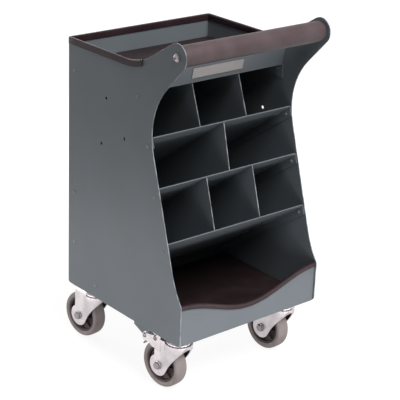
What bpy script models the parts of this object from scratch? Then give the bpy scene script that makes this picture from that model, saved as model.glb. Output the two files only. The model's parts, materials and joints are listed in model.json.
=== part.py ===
"""Compact tool cart: a sheet-steel cabinet with sloping pigeonhole shelves on four swivel casters.

Metres, +Z up. The cart faces -Y, it stands on Z = 0 and the middle of its footprint is the origin.
The cabinet is modelled in a frame of its own, with y = 0 on the outer face of the back panel and
z = 0 on the bottom edge of the side panels, and is placed by BACK_Y and BASE_Z. A caster is
modelled around its swivel axis, z = 0 on top of its plate, with the wheel trailing along +y.
"""
from math import acos, atan2, ceil, cos, pi, radians, sin, tan

import bmesh
import bpy
from mathutils import Vector

# General
FIT = 0.0003
SHEET = 0.002
OVERRUN = 0.010
ARC_SAG = 0.0002

# Cabinet outline
CART_WIDTH = 0.365
CART_DEPTH = 0.375
RIM_HEIGHT = 0.5345
HEEL_R = 0.006
FOOT_R = 0.008
KICK_R = 0.012
KICK_LEAN = radians(34.6)
BEND_SETBACK = 0.0223
BEND_Z = 0.1186
BEND_LINE_R = 0.180
FLANK_LEAN = radians(16.8)
WAIST_R = 0.140
BROW_LEAN = radians(43.5)
SHOULDER_FALL = radians(32.0)
SHOULDER_R = 0.140

# Handle and the ears that hold it
EAR_SETBACK = 0.0365
EAR_RISE = 0.0390
EAR_R = 0.027
GRIP_R = 0.0205
GRIP_END_GAP = 0.0015
TUBE_R = 0.0140
TUBE_WALL = 0.0020
PLUG_LENGTH = 0.022
SCREW_R = 0.0030
SCREW_LENGTH = 0.019
SCREW_HEAD_R = 0.0062
SCREW_HEAD_RISE = 0.0034
SCREW_HEAD_EASE = 0.0006
WASHER_R = 0.0080
WASHER_T = 0.0012

# Tray
TRAY_DEPTH = 0.0505
TRAY_SETBACK = 0.0975
TRAY_WALL_DROP = 0.0015
TRAY_WALL_LEAN = radians(11.4)
TRAY_WALL_SIDE_GAP = 0.0030
TRAY_FLANGE = 0.030
TRAY_MAT_T = 0.0030
MAT_MARGIN = 0.0015

# Shelves and dividers
SHELF_TILT = radians(35.2)
SHELF_RECESS = 0.0028
SHELF_FLANGE = 0.020
BEND_R = 0.0032
SHELF_FRONT_SHARES = (0.8291, 0.6318, 0.4174)
DIVIDER_RECESS = 0.0008
DIVIDER_COUNTS = (2, 1, 2)

# Base and kick apron
FLOOR_T = 0.0030
FLOOR_TOP = 0.0050
BAY_MAT_T = 0.0042
BAY_MAT_GAP = 0.0040
APRON_SETBACK = 0.0035
APRON_RETURN = 0.018
APRON_RETURN_TOP = 0.076
APRON_MID = 0.0660
APRON_WAVE = 0.0200
APRON_STATIONS = 24

# Edge trims
TRIM_WIDTH = 0.0070
TRIM_HEIGHT = 0.0135
TRIM_CROWN = 0.0025
TRIM_CHAMFER = 0.0017
TRIM_END_GAP = 0.0020
TRIM_CURVE_STATIONS = 6
APRON_TRIM_WIDTH = 0.0064
APRON_TRIM_HEIGHT = 0.0105

# Name plate
NAME_PLATE_WIDTH = 0.130
NAME_PLATE_HEIGHT = 0.0215
NAME_PLATE_T = 0.0010
NAME_PLATE_UP = 0.0080

# Rivets and holes in the side panels
RIVET_R = 0.0024
RIVET_HEAD_R = 0.0038
RIVET_HEAD_T = 0.0012
RIVET_SEAT = 0.0005
RIVET_BELOW = 0.0110
RIVET_FROM_FRONT = 0.0200
RIVET_FROM_BACK = 0.0200
LAST_RIVET_FROM_END = 0.0490
TRAY_RIVET_BELOW = 0.0130
TRAY_RIVET_FROM_FRONT = 0.0150
SIDE_HOLE_R = 0.0036
SIDE_HOLE_SHARES = ((0.3357, 0.8256), (0.4960, 0.7020), (0.2987, 0.6442))

# Lugs behind the front casters
LUG_BEHIND_SWIVEL = 0.0946
LUG_TIP = 0.0270
LUG_STEP = 0.0075
LUG_PLATE_GAP = 0.0016
LUG_REAR_DROP = 0.0074
LUG_TIP_DROP = 0.0176
LUG_STEP_DROP = 0.0095
LUG_FRONT_DROP = 0.0065
LUG_T = 0.0030
LUG_FOOT = 0.0140

# Casters
SWIVEL_INSET = 0.0425
FRONT_SWIVEL_SETBACK = 0.0534
REAR_SWIVEL_Y = 0.0457
CASTER_HEIGHT = 0.1325
TRAIL = 0.0367
CASTER_PLATE_X = 0.080
CASTER_PLATE_Y = 0.086
CASTER_PLATE_T = 0.0040
CASTER_PLATE_R = 0.006
BOLT_PITCH_X = 0.060
BOLT_PITCH_Y = 0.066
BOLT_HEAD_R = 0.0070
BOLT_HEAD_T = 0.0050
RACE_R = 0.0225
RACE_LIP_R = 0.0252
RACE_LIP_T = 0.0040
CROWN_DROP = 0.0235
CROWN_R = 0.0288
CROWN_BAND = 0.0105
FORK_T = 0.0025
LEG_HALF = 0.0208
LEG_FRONT = 0.0090
LEG_REAR = 0.0475
FLANK_FRONT = 0.0005
FLANK_REAR = 0.0130
FLANK_DROP = 0.0804
ARCH_DROP = 0.0303
ARCH_START = 0.0275
KNEE_Y = 0.0088
KNEE_DROP = 0.0780
DISC_R = 0.0228
KING_PIN_R = 0.0060
KING_HEAD_R = 0.0110
KING_HEAD_T = 0.0030
AXLE_R = 0.0050
AXLE_HEAD_R = 0.0080
AXLE_HEAD_T = 0.0050
AXLE_WASHER_R = 0.0092
AXLE_WASHER_T = 0.0014
WHEEL_R = 0.050
WHEEL_WIDTH = 0.030
TYRE_SHOULDER = 0.0070
TYRE_BEAD_R = 0.0385
TYRE_BEAD_HALF = 0.0125
HUB_RIM_HALF = 0.0115
HUB_WEB_HALF = 0.0060
HUB_BOSS_R = 0.0150
HUB_RIM_R = 0.0345
HUB_END_GAP = 0.0008
YAWS = {"front_left": radians(6.0), "front_right": radians(3.0),
        "rear_left": radians(6.0), "rear_right": radians(4.0)}

# Brake on each front caster
BRAKE_START = 0.0300
BRAKE_CREST = 0.0405
BRAKE_CREST_DROP = 0.0193
BRAKE_TAB_BEFORE = 0.0090
BRAKE_TAB_PAST = 0.0025
BRAKE_TAB_RISE = 0.0030
BRAKE_END = 0.0835
BRAKE_END_DROP = 0.0252
BRAKE_BOTTOM = 0.0475
BRAKE_HEEL_Y = 0.0545
BRAKE_TAIL_Y = 0.0646
BRAKE_TAIL_BOTTOM = 0.0410
BRAKE_R = 0.0060
BRAKE_T = 0.0020
PIVOT_Y = 0.0470
PIVOT_DROP = 0.0258
STOP_PIN_Y = 0.0768
STOP_PIN_DROP = 0.0300
PIN_R = 0.0025
PIN_HEAD_R = 0.0042
PIN_HEAD_T = 0.0014
PEDAL_HALF = 0.0150
PEDAL_T = 0.0022
PEDAL_BOSS_R = 0.0052
PEDAL_REACH = 0.0310
PEDAL_FALL = radians(25.0)
PEDAL_LIP = 0.0180
PEDAL_LIP_FALL = radians(54.5)

# Sides of the round pieces
FINE_SIDES = 32
ROUND_SIDES = 20
SMALL_SIDES = 10
HEX_SIDES = 6

# Places that follow from the sizes
HALF_WIDTH = CART_WIDTH / 2
INSIDE = HALF_WIDTH - SHEET - FIT
REAR_Y = -SHEET - FIT
BEND_Y = CART_DEPTH - BEND_SETBACK
EAR_Y = CART_DEPTH - EAR_SETBACK
EAR_Z = RIM_HEIGHT + EAR_RISE
TRAY_FLOOR_Z = RIM_HEIGHT - TRAY_DEPTH
TRAY_FRONT_Y = EAR_Y - TRAY_SETBACK
TRAY_WALL_TOP = RIM_HEIGHT - TRAY_WALL_DROP
TRIM_END_Y = TRAY_FRONT_Y - TRIM_END_GAP
APRON_Y = CART_DEPTH - APRON_SETBACK
SWIVEL_X = HALF_WIDTH - SWIVEL_INSET
FRONT_SWIVEL_Y = CART_DEPTH - FRONT_SWIVEL_SETBACK
LUG_Y = FRONT_SWIVEL_Y - LUG_BEHIND_SWIVEL
MOUNT_Z = FLOOR_TOP - FLOOR_T - FIT
BASE_Z = CASTER_HEIGHT - MOUNT_Z
AXLE_DROP = CASTER_HEIGHT - WHEEL_R
TREAD_HALF = WHEEL_WIDTH / 2 - TYRE_SHOULDER


def rear_reach(yaw):
    """How far a rear wheel, turned by yaw, stands behind the back panel."""
    shoulder_centre = (TRAIL + WHEEL_R - TYRE_SHOULDER) * cos(yaw) + TREAD_HALF * sin(yaw)
    return shoulder_centre + TYRE_SHOULDER - REAR_SWIVEL_Y


BACK_Y = (CART_DEPTH - max(rear_reach(YAWS["rear_left"]), rear_reach(YAWS["rear_right"]))) / 2

STEEL_PAINT = ("painted sheet", (0.115, 0.130, 0.140), 0.45, 0.0)
MAT_RUBBER = ("mat rubber", (0.045, 0.030, 0.028), 0.85, 0.0)
TRIM_RUBBER = ("edge trim", (0.075, 0.052, 0.050), 0.60, 0.0)
FOAM = ("grip foam", (0.070, 0.048, 0.046), 0.80, 0.0)
ZINC = ("zinc plate", (0.720, 0.690, 0.700), 0.32, 1.0)
PLATE_METAL = ("bare plate", (0.700, 0.660, 0.660), 0.40, 1.0)
TYRE_RUBBER = ("tyre rubber", (0.300, 0.260, 0.250), 0.65, 0.0)
HUB_PLASTIC = ("hub plastic", (0.050, 0.034, 0.034), 0.50, 0.0)
PEDAL_COAT = ("pedal coat", (0.100, 0.105, 0.110), 0.50, 0.0)
PLUG_PLASTIC = ("plug plastic", (0.030, 0.030, 0.030), 0.60, 0.0)


def material(finish):
    """The material of a finish, made at its first use."""
    name, colour, roughness, metallic = finish
    made = bpy.data.materials.get(name)
    if made is None:
        made = bpy.data.materials.new(name)
        made.use_nodes = True
        shader = made.node_tree.nodes["Principled BSDF"]
        shader.inputs["Base Color"].default_value = (*colour, 1.0)
        shader.inputs["Roughness"].default_value = roughness
        shader.inputs["Metallic"].default_value = metallic
    return made


def add_object(name, mesh, finish):
    """A new object with this mesh, shaded smooth but for its sharp edges."""
    mesh.shade_smooth()
    mesh.set_sharp_from_angle(angle=radians(35.0))
    if not mesh.materials:
        mesh.materials.append(material(finish))
    made = bpy.data.objects.new(name, mesh)
    bpy.context.scene.collection.objects.link(made)
    return made


def mesh_of(name, shape):
    """Closes a bmesh into a mesh whose faces point outwards."""
    bmesh.ops.recalc_face_normals(shape, faces=shape.faces)
    mesh = bpy.data.meshes.new(name)
    shape.to_mesh(mesh)
    shape.free()
    return mesh


def add_rings(shape, rings, closed=False):
    """Adds a skin over rings of equally many points, capped at its ends unless it closes."""
    rows = [[shape.verts.new(point) for point in ring] for ring in rings]
    pairs = list(zip(rows, rows[1:]))
    if closed:
        pairs.append((rows[-1], rows[0]))
    else:
        shape.faces.new(rows[0])
        shape.faces.new(rows[-1][::-1])
    for first, second in pairs:
        for i, vert in enumerate(first):
            after = (i + 1) % len(first)
            shape.faces.new((vert, first[after], second[after], second[i]))


def loft(name, rings, finish, closed=False):
    shape = bmesh.new()
    add_rings(shape, rings, closed)
    return add_object(name, mesh_of(name, shape), finish)


def on_axis(axis, along, first, second):
    """A point from its place along an axis and its two places across it, in the order x, y, z."""
    orders = {"X": (along, first, second), "Y": (first, along, second), "Z": (first, second, along)}
    return Vector(orders[axis])


def slab(name, outline, axis, start, end, finish):
    """A plate: an outline across an axis, carried from start to end along it."""
    rings = [[on_axis(axis, along, a, b) for a, b in outline] for along in (start, end)]
    return loft(name, rings, finish)


def circle(radius, sides, centre=(0, 0)):
    turn = 2 * pi / sides
    return [(centre[0] + radius * cos(i * turn), centre[1] + radius * sin(i * turn)) for i in range(sides)]


def turned(name, stations, axis, sides, finish, centre=(0, 0)):
    """A solid of revolution with its stations, place and radius, along an axis."""
    rings = [[on_axis(axis, along, a, b) for a, b in circle(radius, sides, centre)]
             for along, radius in stations]
    return loft(name, rings, finish)


def turned_ring(name, profile, axis, sides, finish):
    """A bored solid of revolution: a closed profile of places and radii, turned about an axis."""
    turn = 2 * pi / sides
    rings = []
    for i in range(sides):
        across, up = cos(i * turn), sin(i * turn)
        rings.append([on_axis(axis, along, radius * across, radius * up) for along, radius in profile])
    return loft(name, rings, finish, closed=True)


def drills(places, axis, start, end, sides):
    """One cutter with a round rod for each place: its two places across the axis, and its radius."""
    shape = bmesh.new()
    for a, b, radius in places:
        add_rings(shape, [[on_axis(axis, along, *point) for point in circle(radius, sides, (a, b))]
                          for along in (start, end)])
    return add_object("drills", mesh_of("drills", shape), STEEL_PAINT)


def combine(body, others, operation="DIFFERENCE"):
    """Cuts the others from a body, or joins them to it, and removes them."""
    for other in others:
        step = body.modifiers.new(operation.title(), "BOOLEAN")
        step.operation = operation
        step.solver = "EXACT"
        step.object = other
    bpy.context.view_layer.update()
    whole = body.evaluated_get(bpy.context.evaluated_depsgraph_get())
    mesh = bpy.data.meshes.new_from_object(whole)
    mesh.name = body.name
    body.modifiers.clear()
    body.data = mesh
    for other in others:
        bpy.data.objects.remove(other)
    mesh.shade_smooth()
    mesh.set_sharp_from_angle(angle=radians(35.0))
    return body


def rounded(corners):
    """The points of an outline from its corners and their radii, with arcs at the round ones."""
    points = []
    for i, (corner, radius) in enumerate(corners):
        here = Vector(corner)
        if not radius:
            points.append(tuple(here))
            continue
        back = (Vector(corners[i - 1][0]) - here).normalized()
        on = (Vector(corners[(i + 1) % len(corners)][0]) - here).normalized()
        half = back.angle(on) / 2
        centre = here + (back + on).normalized() * (radius / sin(half))
        start = here + back * (radius / tan(half)) - centre
        end = here + on * (radius / tan(half)) - centre
        first = atan2(start.y, start.x)
        sweep = (atan2(end.y, end.x) - first + pi) % (2 * pi) - pi
        points += arc(centre, radius, first, sweep)
    return points


def arc(centre, radius, first, sweep):
    """Points along an arc, so close that no chord strays more than ARC_SAG from it."""
    steps = max(2, ceil(abs(sweep) / acos(1 - ARC_SAG / radius) / 2))
    turns = [first + sweep * k / steps for k in range(steps + 1)]
    return [(centre[0] + radius * cos(turn), centre[1] + radius * sin(turn)) for turn in turns]


def side_outline():
    """The side panel seen from the right, as y and z, from the heel round the front to the rim."""
    kick_z = BEND_Z - (CART_DEPTH - BEND_Y) / tan(KICK_LEAN)
    ear = Vector((-EAR_Y, EAR_Z))
    brow_foot = ear - EAR_R * Vector((cos(BROW_LEAN), sin(BROW_LEAN)))
    brow_slope, flank_slope = tan(BROW_LEAN), tan(FLANK_LEAN)
    waist_z = brow_foot.x + brow_foot.y * brow_slope + BEND_Y + BEND_Z * flank_slope
    waist_z /= flank_slope + brow_slope
    waist_y = -BEND_Y + (waist_z - BEND_Z) * flank_slope
    top = ear + EAR_R * Vector((sin(SHOULDER_FALL), cos(SHOULDER_FALL)))
    shoulder_y = top.x + (top.y - RIM_HEIGHT) / tan(SHOULDER_FALL)
    front = rounded([((0, 0), HEEL_R), ((-CART_DEPTH, 0), FOOT_R), ((-CART_DEPTH, kick_z), KICK_R),
                     ((-BEND_Y, BEND_Z), BEND_LINE_R), ((waist_y, waist_z), WAIST_R), (tuple(brow_foot), 0),
                     (tuple(top), 0), ((shoulder_y, RIM_HEIGHT), SHOULDER_R), ((0, RIM_HEIGHT), 0)])
    first = pi + BROW_LEAN
    round_end = arc(ear, EAR_R, first, pi / 2 - SHOULDER_FALL - first)
    at = front.index(tuple(brow_foot))
    return front[:at] + round_end + front[at + 2:]


SIDE = side_outline()


def front_edge(height):
    """Where the front edge of the side panels is, as y, at a height below the ears."""
    for (y, z), (next_y, next_z) in zip(SIDE, SIDE[1:]):
        if z <= height <= next_z and next_z > z:
            return y + (next_y - y) * (height - z) / (next_z - z)
    raise ValueError("no front edge at this height")


def rim_top(y):
    """The height of the side panels' top edge at a place behind the ears."""
    for (first_y, z), (next_y, next_z) in zip(SIDE, SIDE[1:]):
        if first_y <= y <= next_y and min(z, next_z) >= RIM_HEIGHT - FIT:
            return z + (next_z - z) * (y - first_y) / (next_y - first_y)
    raise ValueError("no top edge at this place")


def shelf_point(front, along, rise, tilt=SHELF_TILT):
    """A point of a shelf, as y and z: along it to the back, and above it, from its front edge."""
    y = front[0] + along * cos(tilt) + rise * sin(tilt)
    z = front[1] - along * sin(tilt) + rise * cos(tilt)
    return (y, z)


def shelf_front(row):
    """The front edge of a shelf, as y and z; its height is a share of the tray floor's."""
    height = SHELF_FRONT_SHARES[row] * TRAY_FLOOR_Z
    return (front_edge(height) + SHELF_RECESS, height)


def along_to_y(front, y, rise, tilt=SHELF_TILT):
    """How far along a shelf lies a point with this y, at a rise above the shelf."""
    return (y - front[0] - rise * sin(tilt)) / cos(tilt)


def along_to_z(front, z, rise):
    """How far along a shelf lies a point with this z, at a rise above the shelf."""
    return (front[1] + rise * cos(SHELF_TILT) - z) / sin(SHELF_TILT)


def shelf_end(front, rise):
    """How far along a shelf it meets the floor or the back panel, whichever comes first."""
    return min(along_to_z(front, FLOOR_TOP + FIT, rise), along_to_y(front, REAR_Y, rise))


def along_flank(rise):
    """How far along a shelf the front edge of its flange lies, so that it follows the side panel."""
    lean = tan(FLANK_LEAN)
    return rise * (lean * cos(SHELF_TILT) - sin(SHELF_TILT)) / (cos(SHELF_TILT) + lean * sin(SHELF_TILT))


def channel_section(half, flange):
    """A flat sheet with both sides turned down, as x and rise."""
    top = rounded([((-half, -flange), 0), ((-half, 0), BEND_R), ((half, 0), BEND_R), ((half, -flange), 0)])
    inner = half - SHEET
    under = rounded([((inner, -flange), 0), ((inner, -SHEET), BEND_R - SHEET),
                     ((-inner, -SHEET), BEND_R - SHEET), ((-inner, -flange), 0)])
    return top + under


def channel(name, front, tilt, flange, front_at, rear_at):
    """A shelf with its flanges, from the front to the rear cut, each a function of the rise."""
    rings = []
    for cut in (front_at, rear_at):
        rings.append([Vector((x, *shelf_point(front, cut(rise), rise, tilt)))
                      for x, rise in channel_section(INSIDE, flange)])
    return loft(name, rings, STEEL_PAINT)


def rivet(side, y, z):
    """A rivet through a flange and a side panel, with a head on both sides, to be joined to the flange."""
    flange_face = INSIDE - SHEET
    head = HALF_WIDTH + FIT
    stations = [(flange_face - RIVET_HEAD_T, RIVET_HEAD_R), (flange_face + RIVET_SEAT, RIVET_HEAD_R),
                (flange_face + RIVET_SEAT, RIVET_R), (head, RIVET_R), (head, RIVET_HEAD_R),
                (head + RIVET_HEAD_T, RIVET_HEAD_R - RIVET_SEAT)]
    return turned("rivet", [(side * along, radius) for along, radius in stations], "X", SMALL_SIDES,
                  ZINC, (y, z))


def shelf_rivets():
    """The rivets of each shelf, as y and z, front and rear."""
    places = []
    for row in range(len(SHELF_FRONT_SHARES)):
        front = shelf_front(row)
        rear_y = -RIVET_FROM_BACK
        if row == len(SHELF_FRONT_SHARES) - 1:
            rear_y = shelf_point(front, shelf_end(front, 0), 0)[0] - LAST_RIVET_FROM_END
        rear_along = along_to_y(front, rear_y, -RIVET_BELOW)
        places.append([shelf_point(front, RIVET_FROM_FRONT, -RIVET_BELOW),
                       shelf_point(front, rear_along, -RIVET_BELOW)])
    return places


def tray_rivets():
    height = TRAY_FLOOR_Z - TRAY_RIVET_BELOW
    return [(TRAY_RIVET_FROM_FRONT - TRAY_FRONT_Y, height), (-RIVET_FROM_BACK, height)]


def make_sides():
    """Both side panels, with their rivet holes, open holes and handle holes."""
    places = [(y, z, RIVET_R + FIT) for pair in shelf_rivets() + [tray_rivets()] for y, z in pair]
    places += [(-y * CART_DEPTH, z * RIM_HEIGHT, SIDE_HOLE_R) for y, z in SIDE_HOLE_SHARES]
    places.append((-EAR_Y, EAR_Z, SCREW_R + FIT))
    for name, inner, outer in (("left_side_panel", -HALF_WIDTH + SHEET, -HALF_WIDTH),
                               ("right_side_panel", HALF_WIDTH - SHEET, HALF_WIDTH)):
        panel = slab(name, SIDE, "X", min(inner, outer), max(inner, outer), STEEL_PAINT)
        cutter = drills(places, "X", min(inner, outer) - OVERRUN, max(inner, outer) + OVERRUN, SMALL_SIDES)
        combine(panel, [cutter])


def make_back_panel():
    outline = [(-INSIDE, 0), (INSIDE, 0), (INSIDE, RIM_HEIGHT), (-INSIDE, RIM_HEIGHT)]
    slab("back_panel", outline, "Y", -SHEET, 0, STEEL_PAINT)


def make_tray():
    """Tray floor with turned-down sides, the leaning front wall, its mat and the bare name plate."""
    front = (-TRAY_FRONT_Y, TRAY_FLOOR_Z)
    tray = channel("top_tray", front, 0, TRAY_FLANGE, lambda rise: 0,
                   lambda rise: along_to_y(front, REAR_Y, rise, 0))
    lean = tan(TRAY_WALL_LEAN)
    low = TRAY_FLOOR_Z - SHEET
    top_y = -TRAY_FRONT_Y - (TRAY_WALL_TOP - TRAY_FLOOR_Z) * lean
    wall = [(-TRAY_FRONT_Y + SHEET, low), (-TRAY_FRONT_Y + SHEET * lean, low), (top_y, TRAY_WALL_TOP),
            (top_y + SHEET, TRAY_WALL_TOP), (-TRAY_FRONT_Y + SHEET, TRAY_FLOOR_Z)]
    wall_half = INSIDE - TRAY_WALL_SIDE_GAP
    joins = [slab("wall", wall, "X", -wall_half, wall_half, STEEL_PAINT)]
    joins += [rivet(side, y, z) for side in (-1, 1) for y, z in tray_rivets()]
    combine(tray, joins, "UNION")
    mat_half = INSIDE - MAT_MARGIN
    mat_front, mat_rear = -TRAY_FRONT_Y + SHEET + MAT_MARGIN, REAR_Y - MAT_MARGIN
    mat_z = TRAY_FLOOR_Z + FIT
    outline = [(-mat_half, mat_front), (mat_half, mat_front), (mat_half, mat_rear), (-mat_half, mat_rear)]
    slab("tray_mat", outline, "Z", mat_z, mat_z + TRAY_MAT_T, MAT_RUBBER)
    make_name_plate(front)


def make_name_plate(front):
    """The plate lies on the tray's front wall, FIT in front of it."""
    across = Vector((-cos(TRAY_WALL_LEAN), -sin(TRAY_WALL_LEAN)))
    up = Vector((-sin(TRAY_WALL_LEAN), cos(TRAY_WALL_LEAN)))
    low = Vector(front) + up * NAME_PLATE_UP + across * FIT
    outline = [low, low + up * NAME_PLATE_HEIGHT, low + up * NAME_PLATE_HEIGHT + across * NAME_PLATE_T,
               low + across * NAME_PLATE_T]
    half = NAME_PLATE_WIDTH / 2
    slab("name_plate", [tuple(point) for point in outline], "X", -half, half, PLATE_METAL)


def make_shelves():
    """Three shelves that slope down to the back, riveted to the sides; the lowest one ends on the floor."""
    rivets = shelf_rivets()
    for row, places in enumerate(rivets):
        front = shelf_front(row)
        shelf = channel(f"shelf_{row + 1}", front, SHELF_TILT, SHELF_FLANGE, along_flank,
                        lambda rise, front=front: shelf_end(front, rise))
        combine(shelf, [rivet(side, y, z) for side in (-1, 1) for y, z in places], "UNION")


def divider_outline(row):
    """A divider between a shelf and what is above it, as y and z."""
    lower = shelf_front(row)
    low_front = shelf_point(lower, DIVIDER_RECESS, FIT)
    if row == 0:
        top_z = TRAY_FLOOR_Z - SHEET - FIT
        top = [(-TRAY_FRONT_Y + SHEET, top_z), (REAR_Y, top_z)]
    else:
        upper = shelf_front(row - 1)
        rise = -SHEET - FIT
        top = [shelf_point(upper, along_flank(rise) + DIVIDER_RECESS, rise),
               shelf_point(upper, shelf_end(upper, rise), rise)]
    low_rear = [shelf_point(lower, shelf_end(lower, FIT), FIT)]
    if low_rear[0][0] < REAR_Y - FIT:
        low_rear.insert(0, (REAR_Y, FLOOR_TOP + FIT))
    return [low_front, *top, *low_rear]


def make_dividers():
    for row, count in enumerate(DIVIDER_COUNTS):
        outline = divider_outline(row)
        for place in range(count):
            x = (place + 1) * 2 * INSIDE / (count + 1) - INSIDE
            slab(f"divider_{row + 1}_{place + 1}", outline, "X", x - SHEET / 2, x + SHEET / 2, STEEL_PAINT)


def make_base():
    """Base plate, its mat, and a lug behind each front caster."""
    apron_back = -APRON_Y + SHEET + FIT
    outline = [(-INSIDE, apron_back), (INSIDE, apron_back), (INSIDE, REAR_Y), (-INSIDE, REAR_Y)]
    slab("base_plate", outline, "Z", FLOOR_TOP - FLOOR_T, FLOOR_TOP, STEEL_PAINT)
    last_front = shelf_front(len(SHELF_FRONT_SHARES) - 1)
    mat_top = FLOOR_TOP + FIT + BAY_MAT_T
    flange_foot = shelf_point(last_front, along_to_z(last_front, mat_top, -SHELF_FLANGE), -SHELF_FLANGE)
    mat_half, mat_front = INSIDE - SHEET - MAT_MARGIN, apron_back + MAT_MARGIN
    mat_rear = min(flange_foot[0], REAR_Y) - BAY_MAT_GAP
    outline = [(-mat_half, mat_front), (mat_half, mat_front), (mat_half, mat_rear), (-mat_half, mat_rear)]
    slab("bay_mat", outline, "Z", FLOOR_TOP + FIT, mat_top, MAT_RUBBER)
    for name, side in (("front_lug_left", -1), ("front_lug_right", 1)):
        make_lug(name, side)


def make_lug(name, side):
    """An angle under the floor, with its upright leg below the side panel's edge."""
    front = -(FRONT_SWIVEL_Y - CASTER_PLATE_Y / 2 - LUG_PLATE_GAP)
    tip = -LUG_Y - LUG_TIP
    upright = [(front, -LUG_FRONT_DROP), (front, MOUNT_Z), (-LUG_Y, MOUNT_Z), (-LUG_Y, -LUG_REAR_DROP),
               (tip, -LUG_TIP_DROP), (tip - LUG_STEP, -LUG_STEP_DROP)]
    faces = sorted((side * (INSIDE - LUG_T), side * INSIDE))
    lug = slab(name, upright, "X", *faces, STEEL_PAINT)
    edges = sorted((side * (INSIDE - LUG_FOOT), side * (INSIDE - LUG_T / 2)))
    foot = slab("foot", [(edges[0], front), (edges[1], front), (edges[1], -LUG_Y), (edges[0], -LUG_Y)],
                "Z", MOUNT_Z - LUG_T / 2, MOUNT_Z, STEEL_PAINT)
    combine(lug, [foot], "UNION")


def apron_top(x):
    """The S-curved top edge of the kick apron: low in the middle and high at the sides."""
    return APRON_MID - APRON_WAVE * cos(2 * pi * x / CART_WIDTH)


def make_apron():
    """Kick apron with its ends turned back inside the sides, and the trim on its edge."""
    stations = [INSIDE * (2 * i / APRON_STATIONS - 1) for i in range(APRON_STATIONS + 1)]
    outline = [(-INSIDE, 0), (INSIDE, 0)] + [(x, apron_top(x)) for x in reversed(stations)]
    apron = slab("kick_apron", outline, "Y", -APRON_Y, -APRON_Y + SHEET, STEEL_PAINT)
    low = FLOOR_TOP + FIT
    joins = []
    for side in (-1, 1):
        faces = sorted((side * (INSIDE - SHEET), side * (INSIDE - FIT)))
        outline = [(-APRON_Y + SHEET / 2, low), (-APRON_Y + APRON_RETURN, low),
                   (-APRON_Y + APRON_RETURN, APRON_RETURN_TOP), (-APRON_Y + SHEET / 2, APRON_RETURN_TOP)]
        joins.append(slab("return", outline, "X", *faces, STEEL_PAINT))
    combine(apron, joins, "UNION")
    section = trim_section(APRON_TRIM_WIDTH, APRON_TRIM_HEIGHT)
    rings = [[Vector((x, -APRON_Y + SHEET / 2 + across, apron_top(x) + rise)) for across, rise in section]
             for x in stations]
    loft("apron_trim", rings, TRIM_RUBBER)


def trim_section(width, height):
    """An edge trim astride a sheet edge, as its place across the sheet and its rise from the edge."""
    half, slot, low = width / 2, SHEET / 2 + FIT, TRIM_CROWN - height
    return [(-half, low), (-half, TRIM_CROWN - TRIM_CHAMFER), (-half + TRIM_CHAMFER, TRIM_CROWN),
            (half - TRIM_CHAMFER, TRIM_CROWN), (half, TRIM_CROWN - TRIM_CHAMFER), (half, low),
            (slot, low), (slot, FIT), (-slot, FIT), (-slot, low)]


def make_rim_trim():
    """One length of trim from the left side round the back to the right side."""
    side_x, back_y = HALF_WIDTH - SHEET / 2, -SHEET / 2
    step = (TRIM_END_Y - TRIM_HEIGHT) / TRIM_CURVE_STATIONS
    straight = [(-TRIM_END_Y + step * i / 2) for i in range(TRIM_CURVE_STATIONS)]
    left = [((-side_x, y), (1, 0)) for y in straight]
    corners = [((-side_x, back_y), (1, -1)), ((side_x, back_y), (-1, -1))]
    right = [((side_x, y), (-1, 0)) for y in reversed(straight)]
    rings = []
    for (x, y), (in_x, in_y) in left + corners + right:
        rings.append([Vector((x + in_x * across, y + in_y * across, rim_top(y) + rise))
                      for across, rise in trim_section(TRIM_WIDTH, TRIM_HEIGHT)])
    loft("rim_trim", rings, TRIM_RUBBER)


def make_handle():
    """Tube between the ears with a foam grip, plugs in its ends and a screw through each ear."""
    centre = (-EAR_Y, EAR_Z)
    bore = TUBE_R - TUBE_WALL
    place = Vector((0, *centre))
    tube = [(-INSIDE, bore), (-INSIDE, TUBE_R), (INSIDE, TUBE_R), (INSIDE, bore)]
    turned_ring("handle_tube", tube, "X", ROUND_SIDES, ZINC).location = place
    end = INSIDE - GRIP_END_GAP
    inner = TUBE_R + FIT
    grip = [(-end, inner), (-end, GRIP_R), (end, GRIP_R), (end, inner)]
    turned_ring("handle_grip", grip, "X", ROUND_SIDES, FOAM).location = place
    for name, side in (("left", -1), ("right", 1)):
        hole = SCREW_R + FIT
        profile = [(side * along, radius) for along, radius in
                   ((INSIDE - PLUG_LENGTH, hole), (INSIDE - PLUG_LENGTH, bore - FIT), (INSIDE, bore - FIT),
                    (INSIDE, hole))]
        turned_ring(f"handle_plug_{name}", profile, "X", ROUND_SIDES, PLUG_PLASTIC).location = place
        face = HALF_WIDTH + FIT
        seat = face + WASHER_T
        stations = [(face - SCREW_LENGTH, SCREW_R), (face, SCREW_R), (face, WASHER_R), (seat, WASHER_R),
                    (seat, SCREW_HEAD_R), (seat + SCREW_HEAD_RISE / 2, SCREW_HEAD_R - SCREW_HEAD_EASE),
                    (seat + SCREW_HEAD_RISE, SCREW_HEAD_R / 2)]
        stations = [(side * along, radius) for along, radius in stations]
        turned(f"handle_screw_{name}", stations, "X", SMALL_SIDES, ZINC).location = place


def caster_plate():
    """Top plate with the heads of its four bolts below."""
    x, y = CASTER_PLATE_X / 2, CASTER_PLATE_Y / 2
    outline = rounded([((-x, -y), CASTER_PLATE_R), ((x, -y), CASTER_PLATE_R), ((x, y), CASTER_PLATE_R),
                       ((-x, y), CASTER_PLATE_R)])
    plate = slab("caster_plate", outline, "Z", -CASTER_PLATE_T, 0, ZINC)
    stations = [(-CASTER_PLATE_T - BOLT_HEAD_T, BOLT_HEAD_R), (-CASTER_PLATE_T / 2, BOLT_HEAD_R)]
    places = [(sx * BOLT_PITCH_X / 2, sy * BOLT_PITCH_Y / 2) for sx in (-1, 1) for sy in (-1, 1)]
    heads = [turned("head", stations, "Z", HEX_SIDES, ZINC, place) for place in places]
    return combine(plate, heads, "UNION")


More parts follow.
